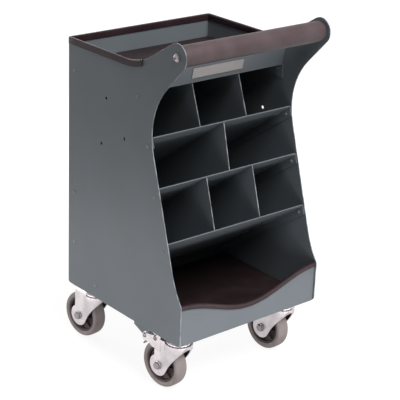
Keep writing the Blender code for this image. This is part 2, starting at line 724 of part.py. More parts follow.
def caster_race():
    """Ball race between the plate and the crown of the fork."""
    top, low, bore = -CASTER_PLATE_T - FIT, -CROWN_DROP + FIT, KING_PIN_R + FIT
    profile = [(low, bore), (low, RACE_LIP_R), (low + RACE_LIP_T, RACE_LIP_R), (low + RACE_LIP_T, RACE_R),
               (top, RACE_R), (top, bore)]
    return turned_ring("caster_race", profile, "Z", ROUND_SIDES, ZINC)


def king_pin():
    """Pin that hangs the fork on the plate."""
    seat = -CROWN_DROP - FORK_T - FIT
    stations = [(-CASTER_PLATE_T - FIT, KING_PIN_R), (seat, KING_PIN_R), (seat, KING_HEAD_R),
                (seat - KING_HEAD_T, KING_HEAD_R - RIVET_SEAT)]
    return turned("king_pin", stations, "Z", SMALL_SIDES, ZINC)


def hull(name, points):
    shape = bmesh.new()
    for point in points:
        shape.verts.new(point)
    made = bmesh.ops.convex_hull(shape, input=shape.verts)
    spare = made["geom_interior"] + made["geom_unused"]
    loose = list({item for item in spare if isinstance(item, bmesh.types.BMVert)})
    bmesh.ops.delete(shape, geom=loose, context="VERTS")
    return add_object(name, mesh_of(name, shape), ZINC)


def fork_form(name, inset, top, rear, low):
    """The fork's full form before it is opened: a round crown with a front flank, and two flat legs."""
    half, front, back = LEG_HALF - inset, FLANK_FRONT + inset, FLANK_REAR
    foot = [(half, front), (half, back), (-half, back), (-half, front)]
    crown = circle(CROWN_R - inset, ROUND_SIDES)
    levels = [(crown, top), (crown, CROWN_DROP + CROWN_BAND), (foot, FLANK_DROP)]
    body = hull(name, [Vector((*point, -drop)) for outline, drop in levels for point in outline])
    front = LEG_FRONT - inset
    leg = [(half, front), (half, rear), (-half, rear), (-half, front)]
    return combine(body, [slab("legs", leg, "Z", -low, -top, ZINC)], "UNION")


def fork_side():
    """The side view that the fork is trimmed to, as y and z: arch, legs and the discs at the axle."""
    hub = Vector((TRAIL, -AXLE_DROP))
    knee = Vector((KNEE_Y, -KNEE_DROP))
    to_hub = hub - knee
    first = atan2(-to_hub.y, -to_hub.x) + acos(DISC_R / to_hub.length)
    last = 2 * pi + acos((LEG_REAR - TRAIL) / DISC_R)
    front = -CROWN_R - OVERRUN
    top = OVERRUN - CROWN_DROP
    return [(front, top), (front, -ARCH_DROP), (-ARCH_START, -ARCH_DROP), tuple(knee),
            *arc(hub, DISC_R, first, last - first), (LEG_REAR, top)]


def fork(name, braked):
    """Pressed fork: a shell under the crown, open below and behind, trimmed to its side view."""
    low = AXLE_DROP + DISC_R + OVERRUN
    body = fork_form(name, 0, CROWN_DROP, TRAIL + DISC_R + FORK_T, low)
    hollow = fork_form("hollow", FORK_T, CROWN_DROP + FORK_T, TRAIL + DISC_R + OVERRUN, low + OVERRUN)
    combine(body, [hollow])
    side = slab("side", fork_side(), "X", -CROWN_R - OVERRUN, CROWN_R + OVERRUN, ZINC)
    combine(body, [side], "INTERSECT")
    if braked:
        start, crest, rear = BRAKE_START - FIT, BRAKE_CREST - FIT, TRAIL + DISC_R + OVERRUN
        under, top, bottom = -CROWN_DROP - FORK_T, OVERRUN - CROWN_DROP, -BRAKE_BOTTOM - FIT
        slot = [(start, bottom), (rear, bottom), (rear, top), (crest, top), (crest, under), (start, under)]
        combine(body, [slab("slot", slot, "X", -CROWN_R, CROWN_R, ZINC)])
    bores = [drills([(TRAIL, -AXLE_DROP, AXLE_R + FIT)], "X", -CROWN_R, CROWN_R, SMALL_SIDES),
             drills([(0, 0, KING_PIN_R + FIT)], "Z", -CROWN_DROP - OVERRUN, OVERRUN, SMALL_SIDES)]
    return combine(body, bores)


def axle_bolt():
    """Axle with a hexagon head on the left and a nut on the right, each on its washer."""
    face = LEG_HALF + FIT
    washer = face + AXLE_WASHER_T
    axle = turned("axle_bolt", [(-washer, AXLE_WASHER_R), (-face, AXLE_WASHER_R), (-face, AXLE_R),
                                (face, AXLE_R), (face, AXLE_WASHER_R), (washer, AXLE_WASHER_R)],
                  "X", SMALL_SIDES, ZINC)
    heads = []
    for side in (-1, 1):
        ends = (side * (washer - AXLE_WASHER_T / 2), side * (washer + AXLE_HEAD_T))
        heads.append(turned("head", [(end, AXLE_HEAD_R) for end in ends], "X", HEX_SIDES, ZINC))
    return combine(axle, heads, "UNION")


def wheel_hub():
    """Hub with a rim, a web and a long boss between the legs."""
    bore, rim = AXLE_R + FIT, TYRE_BEAD_R - FIT
    boss_half = LEG_HALF - FORK_T - HUB_END_GAP
    half = [(boss_half, bore), (boss_half, HUB_BOSS_R - RIVET_SEAT), (HUB_WEB_HALF, HUB_BOSS_R),
            (HUB_WEB_HALF, HUB_RIM_R), (HUB_RIM_HALF, HUB_RIM_R + RIVET_SEAT), (HUB_RIM_HALF, rim)]
    profile = half + [(-along, radius) for along, radius in reversed(half)]
    return turned_ring("wheel_hub", profile, "X", ROUND_SIDES, HUB_PLASTIC)


def tyre():
    """Tyre with round shoulders and sides that draw in to the bead."""
    shoulder = arc((TREAD_HALF, WHEEL_R - TYRE_SHOULDER), TYRE_SHOULDER, 0, pi / 2)
    half = [(TYRE_BEAD_HALF, TYRE_BEAD_R), *shoulder]
    profile = half + [(-along, radius) for along, radius in reversed(half)]
    return turned_ring("tyre", profile, "X", FINE_SIDES, TYRE_RUBBER)


def brake_housing():
    """Channel under the crown, over the wheel, with two pins across it and a tab up over the crown."""
    top = -CROWN_DROP - FORK_T - FIT
    fall = (BRAKE_END_DROP - BRAKE_CREST_DROP) / (BRAKE_END - BRAKE_CREST)
    past, before = BRAKE_CREST + BRAKE_TAB_PAST, BRAKE_CREST - BRAKE_TAB_BEFORE
    tab_top, tab_foot = BRAKE_TAB_RISE - BRAKE_CREST_DROP, FIT - CROWN_DROP
    outline = rounded([((BRAKE_START, top), 0), ((BRAKE_START, -BRAKE_BOTTOM), 0),
                       ((BRAKE_HEEL_Y, -BRAKE_BOTTOM), 0), ((BRAKE_TAIL_Y, -BRAKE_TAIL_BOTTOM), 0),
                       ((BRAKE_END, -BRAKE_TAIL_BOTTOM), BRAKE_R), ((BRAKE_END, -BRAKE_END_DROP), BRAKE_R),
                       ((past, -BRAKE_CREST_DROP - BRAKE_TAB_PAST * fall), 0), ((past, tab_top), 0),
                       ((before, tab_top), 0), ((before, tab_foot), 0), ((BRAKE_CREST, tab_foot), 0),
                       ((BRAKE_CREST, top), 0)])
    inner = LEG_HALF - BRAKE_T
    housing = slab("brake_housing", outline, "X", inner, LEG_HALF, ZINC)
    other = slab("plate", outline, "X", -LEG_HALF, -inner, ZINC)
    web_half = LEG_HALF - FIT
    ends = [PIVOT_Y + PEDAL_BOSS_R + FIT, BRAKE_END - BRAKE_R]
    crest = [(y, -BRAKE_CREST_DROP - FIT - (y - BRAKE_CREST) * fall) for y in ends]
    outline = crest + [(y, z - BRAKE_T) for y, z in reversed(crest)]
    web = slab("web", outline, "X", -web_half, web_half, ZINC)
    pins = []
    for y, drop in ((PIVOT_Y, PIVOT_DROP), (STOP_PIN_Y, STOP_PIN_DROP)):
        head = LEG_HALF + PIN_HEAD_T
        stations = [(-head, PIN_HEAD_R - RIVET_SEAT), (-LEG_HALF + RIVET_SEAT, PIN_HEAD_R),
                    (-LEG_HALF + RIVET_SEAT, PIN_R), (LEG_HALF - RIVET_SEAT, PIN_R),
                    (LEG_HALF - RIVET_SEAT, PIN_HEAD_R), (head, PIN_HEAD_R - RIVET_SEAT)]
        pins.append(turned("pin", stations, "X", SMALL_SIDES, ZINC, (y, -drop)))
    return combine(housing, [web, other, *pins], "UNION")


def brake_pedal():
    """Pedal around its pivot, at the origin: a bored boss, a plate that falls to the rear, and a lip."""
    boss = turned_ring("brake_pedal", [(-PEDAL_HALF, PIN_R + FIT), (-PEDAL_HALF, PEDAL_BOSS_R),
                                       (PEDAL_HALF, PEDAL_BOSS_R), (PEDAL_HALF, PIN_R + FIT)],
                       "X", SMALL_SIDES, PEDAL_COAT)
    along = Vector((cos(PEDAL_FALL), -sin(PEDAL_FALL)))
    up = Vector((sin(PEDAL_FALL), cos(PEDAL_FALL)))
    start, end, half = along * (PIN_R + FIT + RIVET_SEAT * 2), along * PEDAL_REACH, PEDAL_T / 2
    tip = end + Vector((cos(PEDAL_LIP_FALL), -sin(PEDAL_LIP_FALL))) * PEDAL_LIP
    tip_up = Vector((sin(PEDAL_LIP_FALL), cos(PEDAL_LIP_FALL))) * half
    outline = [start - up * half, end - up * half, tip - tip_up, tip + tip_up,
               end + up * half, start + up * half]
    inset = PEDAL_HALF - FIT
    plate = slab("plate", [tuple(point) for point in outline], "X", -inset, inset, PEDAL_COAT)
    return combine(boss, [plate], "UNION")


def make_casters():
    """Four casters that share their meshes, each on an empty at its swivel axis."""
    shared = [caster_plate(), caster_race(), king_pin(), axle_bolt(), wheel_hub(), tyre()]
    sets = {"front": shared + [fork("fork", True), brake_housing(), brake_pedal()],
            "rear": shared + [fork("plain_fork", False)]}
    still = ("caster_plate", "caster_race", "king_pin")
    at_axle = ("axle_bolt", "wheel_hub", "tyre")
    for corner, yaw in YAWS.items():
        depth, side = corner.split("_")
        swivel_y = FRONT_SWIVEL_Y if depth == "front" else REAR_SWIVEL_Y
        mount = bpy.data.objects.new(f"{corner}_mount", None)
        mount.location = ((-SWIVEL_X if side == "left" else SWIVEL_X), -swivel_y + BACK_Y, MOUNT_Z + BASE_Z)
        swivel = bpy.data.objects.new(f"{corner}_swivel", None)
        swivel.location, swivel.rotation_euler.z = mount.location, yaw
        for empty in (mount, swivel):
            bpy.context.scene.collection.objects.link(empty)
        for original in sets[depth]:
            piece = original.name.removeprefix("plain_")
            copy = add_object(f"{corner}_{piece}", original.data, ZINC)
            copy.parent = mount if piece in still else swivel
            if piece in at_axle:
                copy.location = (0, TRAIL, -AXLE_DROP)
            elif piece == "brake_pedal":
                copy.location = (0, PIVOT_Y, -PIVOT_DROP)
    for original in shared + sets["front"][len(shared):] + sets["rear"][len(shared):]:
        bpy.data.objects.remove(original)


def main():
    for old in list(bpy.data.objects):
        bpy.data.objects.remove(old)
    make_sides()
    make_back_panel()
    make_tray()
    make_shelves()
    make_dividers()
    make_base()
    make_apron()
    make_rim_trim()
    make_handle()
    for piece in list(bpy.data.objects):
        piece.location += Vector((0, BACK_Y, BASE_Z))
    make_casters()


main()
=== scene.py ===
"""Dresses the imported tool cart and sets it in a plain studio.

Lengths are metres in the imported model's frame: +X to the cart's right, -Y to its front, +Z up.
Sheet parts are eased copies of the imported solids, round parts are turned from profiles, and mats,
trims and screw heads are surfaces of two parameters. A profile is a list of pairs: the place
along an axis and the radius there.
"""
import json
import logging
from dataclasses import dataclass
from enum import Enum
from typing import Any, Optional, Sequence

import bmesh
import bpy
import numpy as np
from mathutils import Matrix, Vector


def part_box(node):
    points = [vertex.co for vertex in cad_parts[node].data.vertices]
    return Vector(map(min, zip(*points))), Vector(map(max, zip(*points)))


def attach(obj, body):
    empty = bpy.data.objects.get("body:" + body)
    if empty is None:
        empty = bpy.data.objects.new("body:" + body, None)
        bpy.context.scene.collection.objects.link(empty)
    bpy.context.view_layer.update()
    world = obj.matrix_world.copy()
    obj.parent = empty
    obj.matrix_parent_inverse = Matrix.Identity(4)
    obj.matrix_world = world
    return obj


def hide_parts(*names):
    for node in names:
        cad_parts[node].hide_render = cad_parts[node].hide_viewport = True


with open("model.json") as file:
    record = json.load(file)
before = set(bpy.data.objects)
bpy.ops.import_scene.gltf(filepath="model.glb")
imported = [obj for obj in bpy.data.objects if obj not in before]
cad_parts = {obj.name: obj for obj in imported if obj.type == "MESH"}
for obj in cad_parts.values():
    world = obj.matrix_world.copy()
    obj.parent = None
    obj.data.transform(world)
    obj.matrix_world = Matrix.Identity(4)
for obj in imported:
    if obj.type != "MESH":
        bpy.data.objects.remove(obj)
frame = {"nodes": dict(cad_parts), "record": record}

logging.basicConfig(level=logging.INFO, format="%(message)s")
log = logging.getLogger("tool_cart")

Array = np.ndarray
Pair = tuple[float, float]
Triple = tuple[float, float, float]
Tree = bpy.types.NodeTree
Socket = bpy.types.NodeSocket

CABINET = "cabinet"
EAR_SEAT = 0.1828  # x where rivet domes and screw washers sit outside the side panels
FLANGE_SEAT = 0.1782  # x where the rivets' formed ends sit inside, on the shelves' flanges
# The zero point of the cabinet's own frame: mid-width, at the back face and the sides' foot
ORIGIN = np.array([0.0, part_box("back_panel")[1].y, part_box("left_side_panel")[0].z])


# Meshes

DOME_END = np.radians(86)  # a dome's last ring, just short of its pole
MERGE_WITHIN = 2e-6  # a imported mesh's points closer than this are one
FLAT_WITHIN = np.radians(0.4)  # its faces that turn less than this are one
CUT_EDGE = 0.0013  # a face whose area over half its girth is less is a sheet's cut edge
EASED_SHARP = np.radians(55)  # an eased piece shades smooth up to this


class Shell:
    """Closed surfaces gathered into one mesh, each a grid of points worked out with numpy."""

    def __init__(self) -> None:
        """Starts with nothing in it."""
        self.points: list[Array] = []
        self.faces: list[list[int]] = []
        self.count = 0

    def add(self, grid: Array, closed: bool = False) -> "Shell":
        """Skins a grid of points with quads, with each row a ring.

        Args:
            grid: points in rows and columns, with shape (rows, columns, 3).
            closed: joins the last row to the first; else a face closes each of the two.

        Returns:
            The shell itself.
        """
        rows, columns = grid.shape[:2]
        index = np.arange(rows * columns).reshape(rows, columns) + self.count
        ends = [] if closed else [index[0, ::-1].tolist(), index[-1].tolist()]
        index = np.hstack([index, index[:, :1]])
        if closed:
            index = np.vstack([index, index[:1]])
        quads = [index[:-1, :-1], index[:-1, 1:], index[1:, 1:], index[1:, :-1]]
        self.faces += np.stack(quads, axis=-1).reshape(-1, 4).tolist() + ends
        self.points.append(grid.reshape(-1, 3))
        self.count += rows * columns
        return self

    def build(self, name: str, sharp: float = 40.0) -> bpy.types.Object:
        """Makes the piece, with outward faces and edges sharper than an angle kept.

        Args:
            name: the piece's name.
            sharp: the angle in degrees past which an edge stays sharp.

        Returns:
            The new object.
        """
        mesh = bpy.data.meshes.new(name)
        mesh.from_pydata(np.concatenate(self.points), [], self.faces)
        work = bmesh.new()
        work.from_mesh(mesh)
        bmesh.ops.recalc_face_normals(work, faces=work.faces)
        work.to_mesh(mesh)
        work.free()
        mesh.shade_smooth()
        mesh.set_sharp_from_angle(angle=np.radians(sharp))
        return link(name, mesh)


def link(name: str, mesh: bpy.types.Mesh) -> bpy.types.Object:
    """Puts a mesh into the scene as an object at the origin.

    Args:
        name: the piece's name.
        mesh: its mesh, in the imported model's frame.

    Returns:
        The new object.
    """
    piece = bpy.data.objects.new(name, mesh)
    bpy.context.scene.collection.objects.link(piece)
    return piece


def turned(profile: Sequence[Pair], centre: Sequence[float], axis: Sequence[float],
           sides: int) -> Array:
    """Turns a profile about an axis.

    Point = centre + along * axis + radius * (cos a * first + sin a * second), where first and
    second are square to the axis.

    Args:
        profile: pairs of the place along the axis and the radius.
        centre: the axis's zero point.
        axis: its direction.
        sides: how many points go round.

    Returns:
        A grid with a row for each pair and a column for each side.
    """
    along, radius = np.asarray(profile, dtype=float).T
    way = np.asarray(axis, dtype=float)
    way = way / np.linalg.norm(way)
    spare = np.array([0.0, 0.0, 1.0]) if abs(way[2]) < 0.9 else np.array([1.0, 0.0, 0.0])
    first = np.cross(way, spare)
    first = first / np.linalg.norm(first)
    second = np.cross(way, first)
    angle = np.linspace(0, 2 * np.pi, sides, endpoint=False)
    ring = np.cos(angle)[:, None] * first + np.sin(angle)[:, None] * second
    middle = np.asarray(centre, dtype=float) + along[:, None, None] * way
    return middle + radius[:, None, None] * ring


def rounded(start: Pair, corner: Pair, end: Pair, steps: int) -> list[Pair]:
    """A smooth corner of a profile: the quadratic curve that start, corner and end control.

    Args:
        start: where the curve begins.
        corner: the corner that it rounds.
        end: where it stops.
        steps: how many spans it has.

    Returns:
        Its points, both ends included.
    """
    t = np.linspace(0, 1, steps + 1)[:, None]
    curve = (1 - t) ** 2 * np.array(start) + 2 * t * (1 - t) * np.array(corner)
    return [tuple(point) for point in (curve + t**2 * np.array(end)).tolist()]


def dome(base: float, radius: float, rise: float) -> list[Pair]:
    """A low dome's profile: place = base + rise * sin a, radius = radius * cos a.

    Args:
        base: where the dome starts along the axis.
        radius: its radius there.
        rise: its height, negative to bulge backwards.

    Returns:
        Pairs of place and radius that end just short of the pole.
    """
    angle = np.linspace(0, DOME_END, 8)
    return list(zip((base + rise * np.sin(angle)).tolist(), (radius * np.cos(angle)).tolist()))


def mirrored(profile: Sequence[Pair], way: int) -> list[Pair]:
    """A profile with its places along the axis multiplied by way, which is 1 or -1."""
    return [(way * along, radius) for along, radius in profile]


def settle(piece: bpy.types.Object) -> bpy.types.Object:
    """Applies a piece's modifiers.

    Args:
        piece: the piece with its modifiers.

    Returns:
        The same object with the finished mesh.
    """
    bpy.context.view_layer.update()
    whole = piece.evaluated_get(bpy.context.evaluated_depsgraph_get())
    mesh = bpy.data.meshes.new_from_object(whole)
    mesh.name = piece.name
    piece.modifiers.clear()
    piece.data = mesh
    return piece


def eased_copy(node: str, width: float, limit: float) -> bpy.types.Object:
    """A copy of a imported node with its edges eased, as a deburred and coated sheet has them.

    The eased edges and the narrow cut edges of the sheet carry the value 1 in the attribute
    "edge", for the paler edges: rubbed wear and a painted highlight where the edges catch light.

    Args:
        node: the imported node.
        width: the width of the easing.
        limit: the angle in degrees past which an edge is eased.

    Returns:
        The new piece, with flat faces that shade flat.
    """
    mesh = frame["nodes"][node].data.copy()
    work = bmesh.new()
    work.from_mesh(mesh)
    bmesh.ops.remove_doubles(work, verts=work.verts, dist=MERGE_WITHIN)
    bmesh.ops.dissolve_limit(work, angle_limit=FLAT_WITHIN, verts=work.verts, edges=work.edges)
    edge_value = work.faces.layers.float.new("edge")
    keen = [edge for edge in work.edges
            if edge.is_manifold and edge.calc_face_angle() > np.radians(limit)]
    made = bmesh.ops.bevel(work, geom=keen, offset=width, segments=2, profile=0.5,
                           affect="EDGES", clamp_overlap=True)
    for face in made["faces"]:
        face[edge_value] = 1.0
    for face in work.faces:
        if face.calc_area() * 2 < CUT_EDGE * face.calc_perimeter():
            face[edge_value] = 1.0
    work.to_mesh(mesh)
    work.free()
    mesh.materials.clear()
    mesh.shade_smooth()
    mesh.set_sharp_from_angle(angle=EASED_SHARP)
    piece = link(f"{node}_finished", mesh)
    normals = piece.modifiers.new("flat faces", "WEIGHTED_NORMAL")
    normals.keep_sharp = True
    normals.weight = 100
    return settle(piece)


# Materials

WEAR_AND_HIGHLIGHT_CELLS = 60.0  # cells per metre of the noise that breaks up the paler edges: rubbed wear and painted highlight
DUST_CELLS = 22.0  # the same for the dust


def fill(tree: Tree, node: bpy.types.Node, inputs: dict[Any, Any]) -> None:
    """Sets a node's inputs: a socket is linked, anything else becomes the input's value.

    Args:
        tree: the tree that holds the node.
        node: the node.
        inputs: sockets and values by the inputs' names or numbers.
    """
    for key, value in inputs.items():
        if isinstance(value, Socket):
            tree.links.new(value, node.inputs[key])
        else:
            node.inputs[key].default_value = value


def put(tree: Tree, kind: str, out: str, inputs: Optional[dict[Any, Any]] = None,
        **settings: Any) -> Socket:
    """Adds a shader node.

    Args:
        tree: the tree that it goes into.
        kind: its type, without the prefix that all shader nodes have.
        out: the name of its output that is used.
        inputs: sockets and values by the inputs' names or numbers.
        settings: its own properties, set first.

    Returns:
        The socket of the output.
    """
    node = tree.nodes.new(f"ShaderNode{kind}")
    for key, value in settings.items():
        setattr(node, key, value)
    fill(tree, node, inputs or {})
    return node.outputs[out]


def new_group(name: str, output: str,
              **more: str) -> tuple[Tree, dict[str, Socket], bpy.types.Node]:
    """Starts a node group with a Vector input, a Scale input and one value output.

    Args:
        name: the group's name.
        output: the output's name.
        more: the socket types of further inputs, by name.

    Returns:
        The group, the sockets of its inputs by name, and its output node.
    """
    tree = bpy.data.node_groups.new(name, "ShaderNodeTree")
    kinds = {"Vector": "NodeSocketVector", "Scale": "NodeSocketFloat", **more}
    for key, kind in kinds.items():
        tree.interface.new_socket(name=key, in_out="INPUT", socket_type=kind)
    tree.interface.new_socket(name=output, in_out="OUTPUT", socket_type="NodeSocketFloat")
    start = tree.nodes.new("NodeGroupInput")
    given = {key: start.outputs[key] for key in kinds}
    return tree, given, tree.nodes.new("NodeGroupOutput")


def noise(tree: Tree, given: dict[str, Socket], **values: float) -> Socket:
    """A group's noise, at its Vector and Scale and with the noise node's values."""
    inputs = {"Vector": given["Vector"], "Scale": given["Scale"], **values}
    return put(tree, "TexNoise", "Fac", inputs)


def drift_group() -> Tree:
    """Broad, soft patches of tone: a noise stretched to the range 0 to 1.

    Returns:
        The node group.
    """
    tree, given, end = new_group("tone_drift", "Mask")
    patches = {"Value": noise(tree, given, Detail=2.0), "From Min": 0.32, "From Max": 0.68}
    fill(tree, end, {"Mask": put(tree, "MapRange", "Result", patches)})
    return tree


def grain_group() -> Tree:
    """Fine relief: a noise with rich detail, for bump and for the spread of gloss.

    Returns:
        The node group.
    """
    tree, given, end = new_group("fine_grain", "Height")
    fill(tree, end, {"Height": noise(tree, given, Detail=5.0, Roughness=0.55)})
    return tree


def pore_group() -> Tree:
    """Small closed pores, as in foam: the distance to the nearest cell's centre.

    Returns:
        The node group.
    """
    tree, given, end = new_group("foam_pores", "Height")
    inputs = {"Vector": given["Vector"], "Scale": given["Scale"], "Smoothness": 0.6}
    fill(tree, end, {"Height": put(tree, "TexVoronoi", "Distance", inputs, feature="SMOOTH_F1")})
    return tree


def wear_and_highlight_group() -> Tree:
    """Paler edges, rubbed wear and a painted highlight: the "edge" attribute times a noise
    stretched to the range 0 to 1.

    Returns:
        The node group.
    """
    tree, given, end = new_group("edge_wear_and_highlight", "Mask", Edge="NodeSocketFloat")
    spots = {"Value": noise(tree, given, Detail=4.0), "From Min": 0.38, "From Max": 0.62}
    factors = {0: put(tree, "MapRange", "Result", spots), 1: given["Edge"]}
    fill(tree, end, {"Mask": put(tree, "Math", "Value", factors, operation="MULTIPLY")})
    return tree


def dust_group() -> Tree:
    """Settled dust: how far the surface faces up, times a noise.

    Returns:
        The node group.
    """
    tree, given, end = new_group("settled_dust", "Mask", Normal="NodeSocketVector")
    upward = put(tree, "SeparateXYZ", "Z", {"Vector": given["Normal"]})
    share = {"Value": upward, "From Min": 0.2, "From Max": 1.0}
    factors = {0: put(tree, "MapRange", "Result", share), 1: noise(tree, given, Detail=3.0)}
    fill(tree, end, {"Mask": put(tree, "Math", "Value", factors, operation="MULTIPLY")})
    return tree


GROUP_MAKERS = {"drift": drift_group, "grain": grain_group, "pores": pore_group,
                "wear_and_highlight": wear_and_highlight_group, "dust": dust_group}
GROUPS: dict[str, Tree] = {}


def group(name: str) -> Tree:
    """The shared node group of one effect, made at its first use.

    Args:
        name: the effect's name in GROUP_MAKERS.

    Returns:
        The node group.
    """
    if name not in GROUPS:
        GROUPS[name] = GROUP_MAKERS[name]()
    return GROUPS[name]


class Texture(Enum):
    """How a finish's fine relief runs."""

    MOULDED = "moulded"
    BRUSHED = "brushed"
    PORES = "pores"


@dataclass(frozen=True)
class Finish:
    """A surface finish, which builds one material.

    drift_scale and grain_scale are cells per metre; the paler edges (rubbed wear and a painted
    highlight) and the dust have strengths from 0 to 1; gloss_spread is how far roughness swings
    with the grain; relief is the bump's height.
    """

    name: str
    slot: str
    colour: Triple
    second: Triple
    roughness: float
    metallic: float = 0.0
    texture: Texture = Texture.MOULDED
    drift_scale: float = 9.0
    grain_scale: float = 600.0
    gloss_spread: float = 0.10
    relief: float = 0.00005
    bump: float = 0.3
    # the paler edges: rubbed wear, and on the paint a painted highlight where edges catch light
    wear_and_highlight: float = 0.0
    wear_and_highlight_colour: Triple = (0.4, 0.4, 0.4)
    dust: float = 0.0
    dust_colour: Triple = (0.35, 0.33, 0.31)
    sheen: float = 0.0
    stretch: Triple = (1.0, 1.0, 1.0)
    specular: float = 0.5

    def material(self) -> bpy.types.Material:
        """Builds the material at its first use.

        Returns:
            The finished material.
        """
        made = bpy.data.materials.get(self.name)
        if made is None:
            made = bpy.data.materials.new(self.name)
            made.use_nodes = True
            made.diffuse_color = (*self.colour, 1.0)
            self.shade(made.node_tree)
        return made

    def shade(self, tree: Tree) -> None:
        """Mixes the colour from the two tones, the paler edges (rubbed wear and a painted
        highlight) and the dust.

        Args:
            tree: the material's nodes.
        """
        shader = tree.nodes["Principled BSDF"]
        place = put(tree, "TexCoord", "Object")
        at = {"Vector": place, "Scale": self.drift_scale}
        mask = put(tree, "Group", "Mask", at, node_tree=group("drift"))
        colour = self.blend(tree, mask, 1.0, self.colour, self.second)
        # paler edges: a painted highlight along eased and cut edges, also standing for rubbed wear
        if self.wear_and_highlight:
            edge = put(tree, "Attribute", "Fac", attribute_name="edge")
            at = {"Vector": place, "Scale": WEAR_AND_HIGHLIGHT_CELLS, "Edge": edge}
            mask = put(tree, "Group", "Mask", at, node_tree=group("wear_and_highlight"))
            colour = self.blend(tree, mask, self.wear_and_highlight, colour, self.wear_and_highlight_colour)
        if self.dust:
            normal = put(tree, "NewGeometry", "Normal")
            at = {"Vector": place, "Scale": DUST_CELLS, "Normal": normal}
            mask = put(tree, "Group", "Mask", at, node_tree=group("dust"))
            colour = self.blend(tree, mask, self.dust, colour, self.dust_colour)
        fill(tree, shader, {"Base Color": colour, "Metallic": self.metallic,
                            "Specular IOR Level": self.specular, "Sheen Weight": self.sheen})
        self.relieve(tree, shader, place)

    def relieve(self, tree: Tree, shader: bpy.types.Node, place: Socket) -> None:
        """Adds the fine relief and the spread of gloss.

        Args:
            tree: the material's nodes.
            shader: its Principled BSDF.
            place: the Object coordinates.
        """
        if self.texture is Texture.BRUSHED:
            place = put(tree, "Mapping", "Vector", {"Vector": place, "Scale": self.stretch})
        kind = "pores" if self.texture is Texture.PORES else "grain"
        at = {"Vector": place, "Scale": self.grain_scale}
        height = put(tree, "Group", "Height", at, node_tree=group(kind))
        gloss = {"Value": height, "From Min": 0.3, "From Max": 0.7,
                 "To Min": self.roughness - self.gloss_spread / 2,
                 "To Max": self.roughness + self.gloss_spread / 2}
        bump = {"Height": height, "Strength": self.bump, "Distance": self.relief}
        fill(tree, shader, {"Roughness": put(tree, "MapRange", "Result", gloss),
                            "Normal": put(tree, "Bump", "Normal", bump)})

    @staticmethod
    def blend(tree: Tree, mask: Socket, strength: float, under: "Triple | Socket",
              over: Triple) -> Socket:
        """Mixes a colour over another by a mask times a strength.

        Args:
            tree: the material's nodes.
            mask: where the upper colour shows.
            strength: how strongly, from 0 to 1.
            under: the lower colour, or the socket that gives it.
            over: the upper colour.

        Returns:
            The socket of the mixed colour.
        """
        share = put(tree, "Math", "Value", {0: mask, 1: strength}, operation="MULTIPLY")
        lower = (*under, 1.0) if isinstance(under, tuple) else under
        colours = {"Factor": share, "A": lower, "B": (*over, 1.0)}
        return put(tree, "Mix", "Result", colours, data_type="RGBA")


# The paint's pale edge colour is a painted highlight on the eased and cut sheet edges, broken up by
# noise as rubbed wear would be.
PAINT = Finish("slate_powder_coat", "paint", (0.120, 0.136, 0.150), (0.134, 0.150, 0.165), 0.46,
               drift_scale=7.0, grain_scale=900.0, relief=0.00006, bump=0.25, gloss_spread=0.12,
               wear_and_highlight=0.65, wear_and_highlight_colour=(0.44, 0.46, 0.48), dust=0.06, specular=0.25)
RIVET = Finish("painted_rivet", "paint", (0.200, 0.214, 0.225), (0.160, 0.172, 0.180), 0.30,
               grain_scale=1200.0)
MAT = Finish("studded_mat", "mat", (0.010, 0.005, 0.006), (0.018, 0.010, 0.011), 0.48,
             drift_scale=30.0, grain_scale=1500.0, relief=0.0001, bump=0.5, dust=0.05,
             dust_colour=(0.12, 0.09, 0.085), specular=0.35)
TRIM = Finish("trim_rubber", "trim", (0.024, 0.012, 0.015), (0.034, 0.019, 0.022), 0.34,
              drift_scale=28.0, grain_scale=900.0, wear_and_highlight=0.35, wear_and_highlight_colour=(0.20, 0.16, 0.16),
              dust=0.02, dust_colour=(0.12, 0.09, 0.09), specular=0.13)
FOAM = Finish("grip_foam", "grip", (0.060, 0.038, 0.042), (0.084, 0.058, 0.062), 0.56,
              texture=Texture.PORES, drift_scale=24.0, grain_scale=1100.0, relief=0.00012,
              bump=0.55, gloss_spread=0.16, sheen=0.05, specular=0.3)
ZINC = Finish("zinc_plate", "zinc", (0.62, 0.57, 0.585), (0.50, 0.465, 0.48), 0.34, metallic=1.0,
              texture=Texture.BRUSHED, drift_scale=45.0, grain_scale=260.0, relief=0.00002,
              bump=0.18, gloss_spread=0.20, stretch=(1.0, 1.0, 5.0))
STEEL = Finish("rivet_steel", "zinc", (0.20, 0.18, 0.19), (0.12, 0.11, 0.115), 0.34,
               metallic=1.0, drift_scale=90.0, grain_scale=1200.0)
BOLT = Finish("bolt_zinc", "zinc", (0.34, 0.31, 0.32), (0.24, 0.22, 0.23), 0.28,
              metallic=1.0, grain_scale=900.0)
BARE = Finish("brushed_sheet", "bare_plate", (0.30, 0.275, 0.275), (0.26, 0.24, 0.24), 0.50,
              metallic=0.6, texture=Texture.BRUSHED, grain_scale=300.0, relief=0.00002, bump=0.2,
              stretch=(0.06, 1.0, 1.0))
TYRE = Finish("tyre_rubber", "tyre", (0.250, 0.210, 0.205), (0.195, 0.160, 0.155), 0.58,
              drift_scale=38.0, grain_scale=1100.0, relief=0.00008, bump=0.4, dust=0.12,
              dust_colour=(0.42, 0.38, 0.36))
HUB = Finish("ribbed_plastic", "hub_plastic", (0.048, 0.031, 0.033), (0.036, 0.023, 0.025), 0.48,
             grain_scale=1300.0, dust=0.08, dust_colour=(0.2, 0.17, 0.16), specular=0.30)
PEDAL = Finish("worn_pedal", "pedal_coat", (0.150, 0.150, 0.155), (0.120, 0.120, 0.125), 0.42,
               wear_and_highlight=0.6, grain_scale=1100.0)
PLUG = Finish("moulded_plug", "plug_plastic", (0.030, 0.030, 0.030), (0.022, 0.022, 0.022), 0.55)


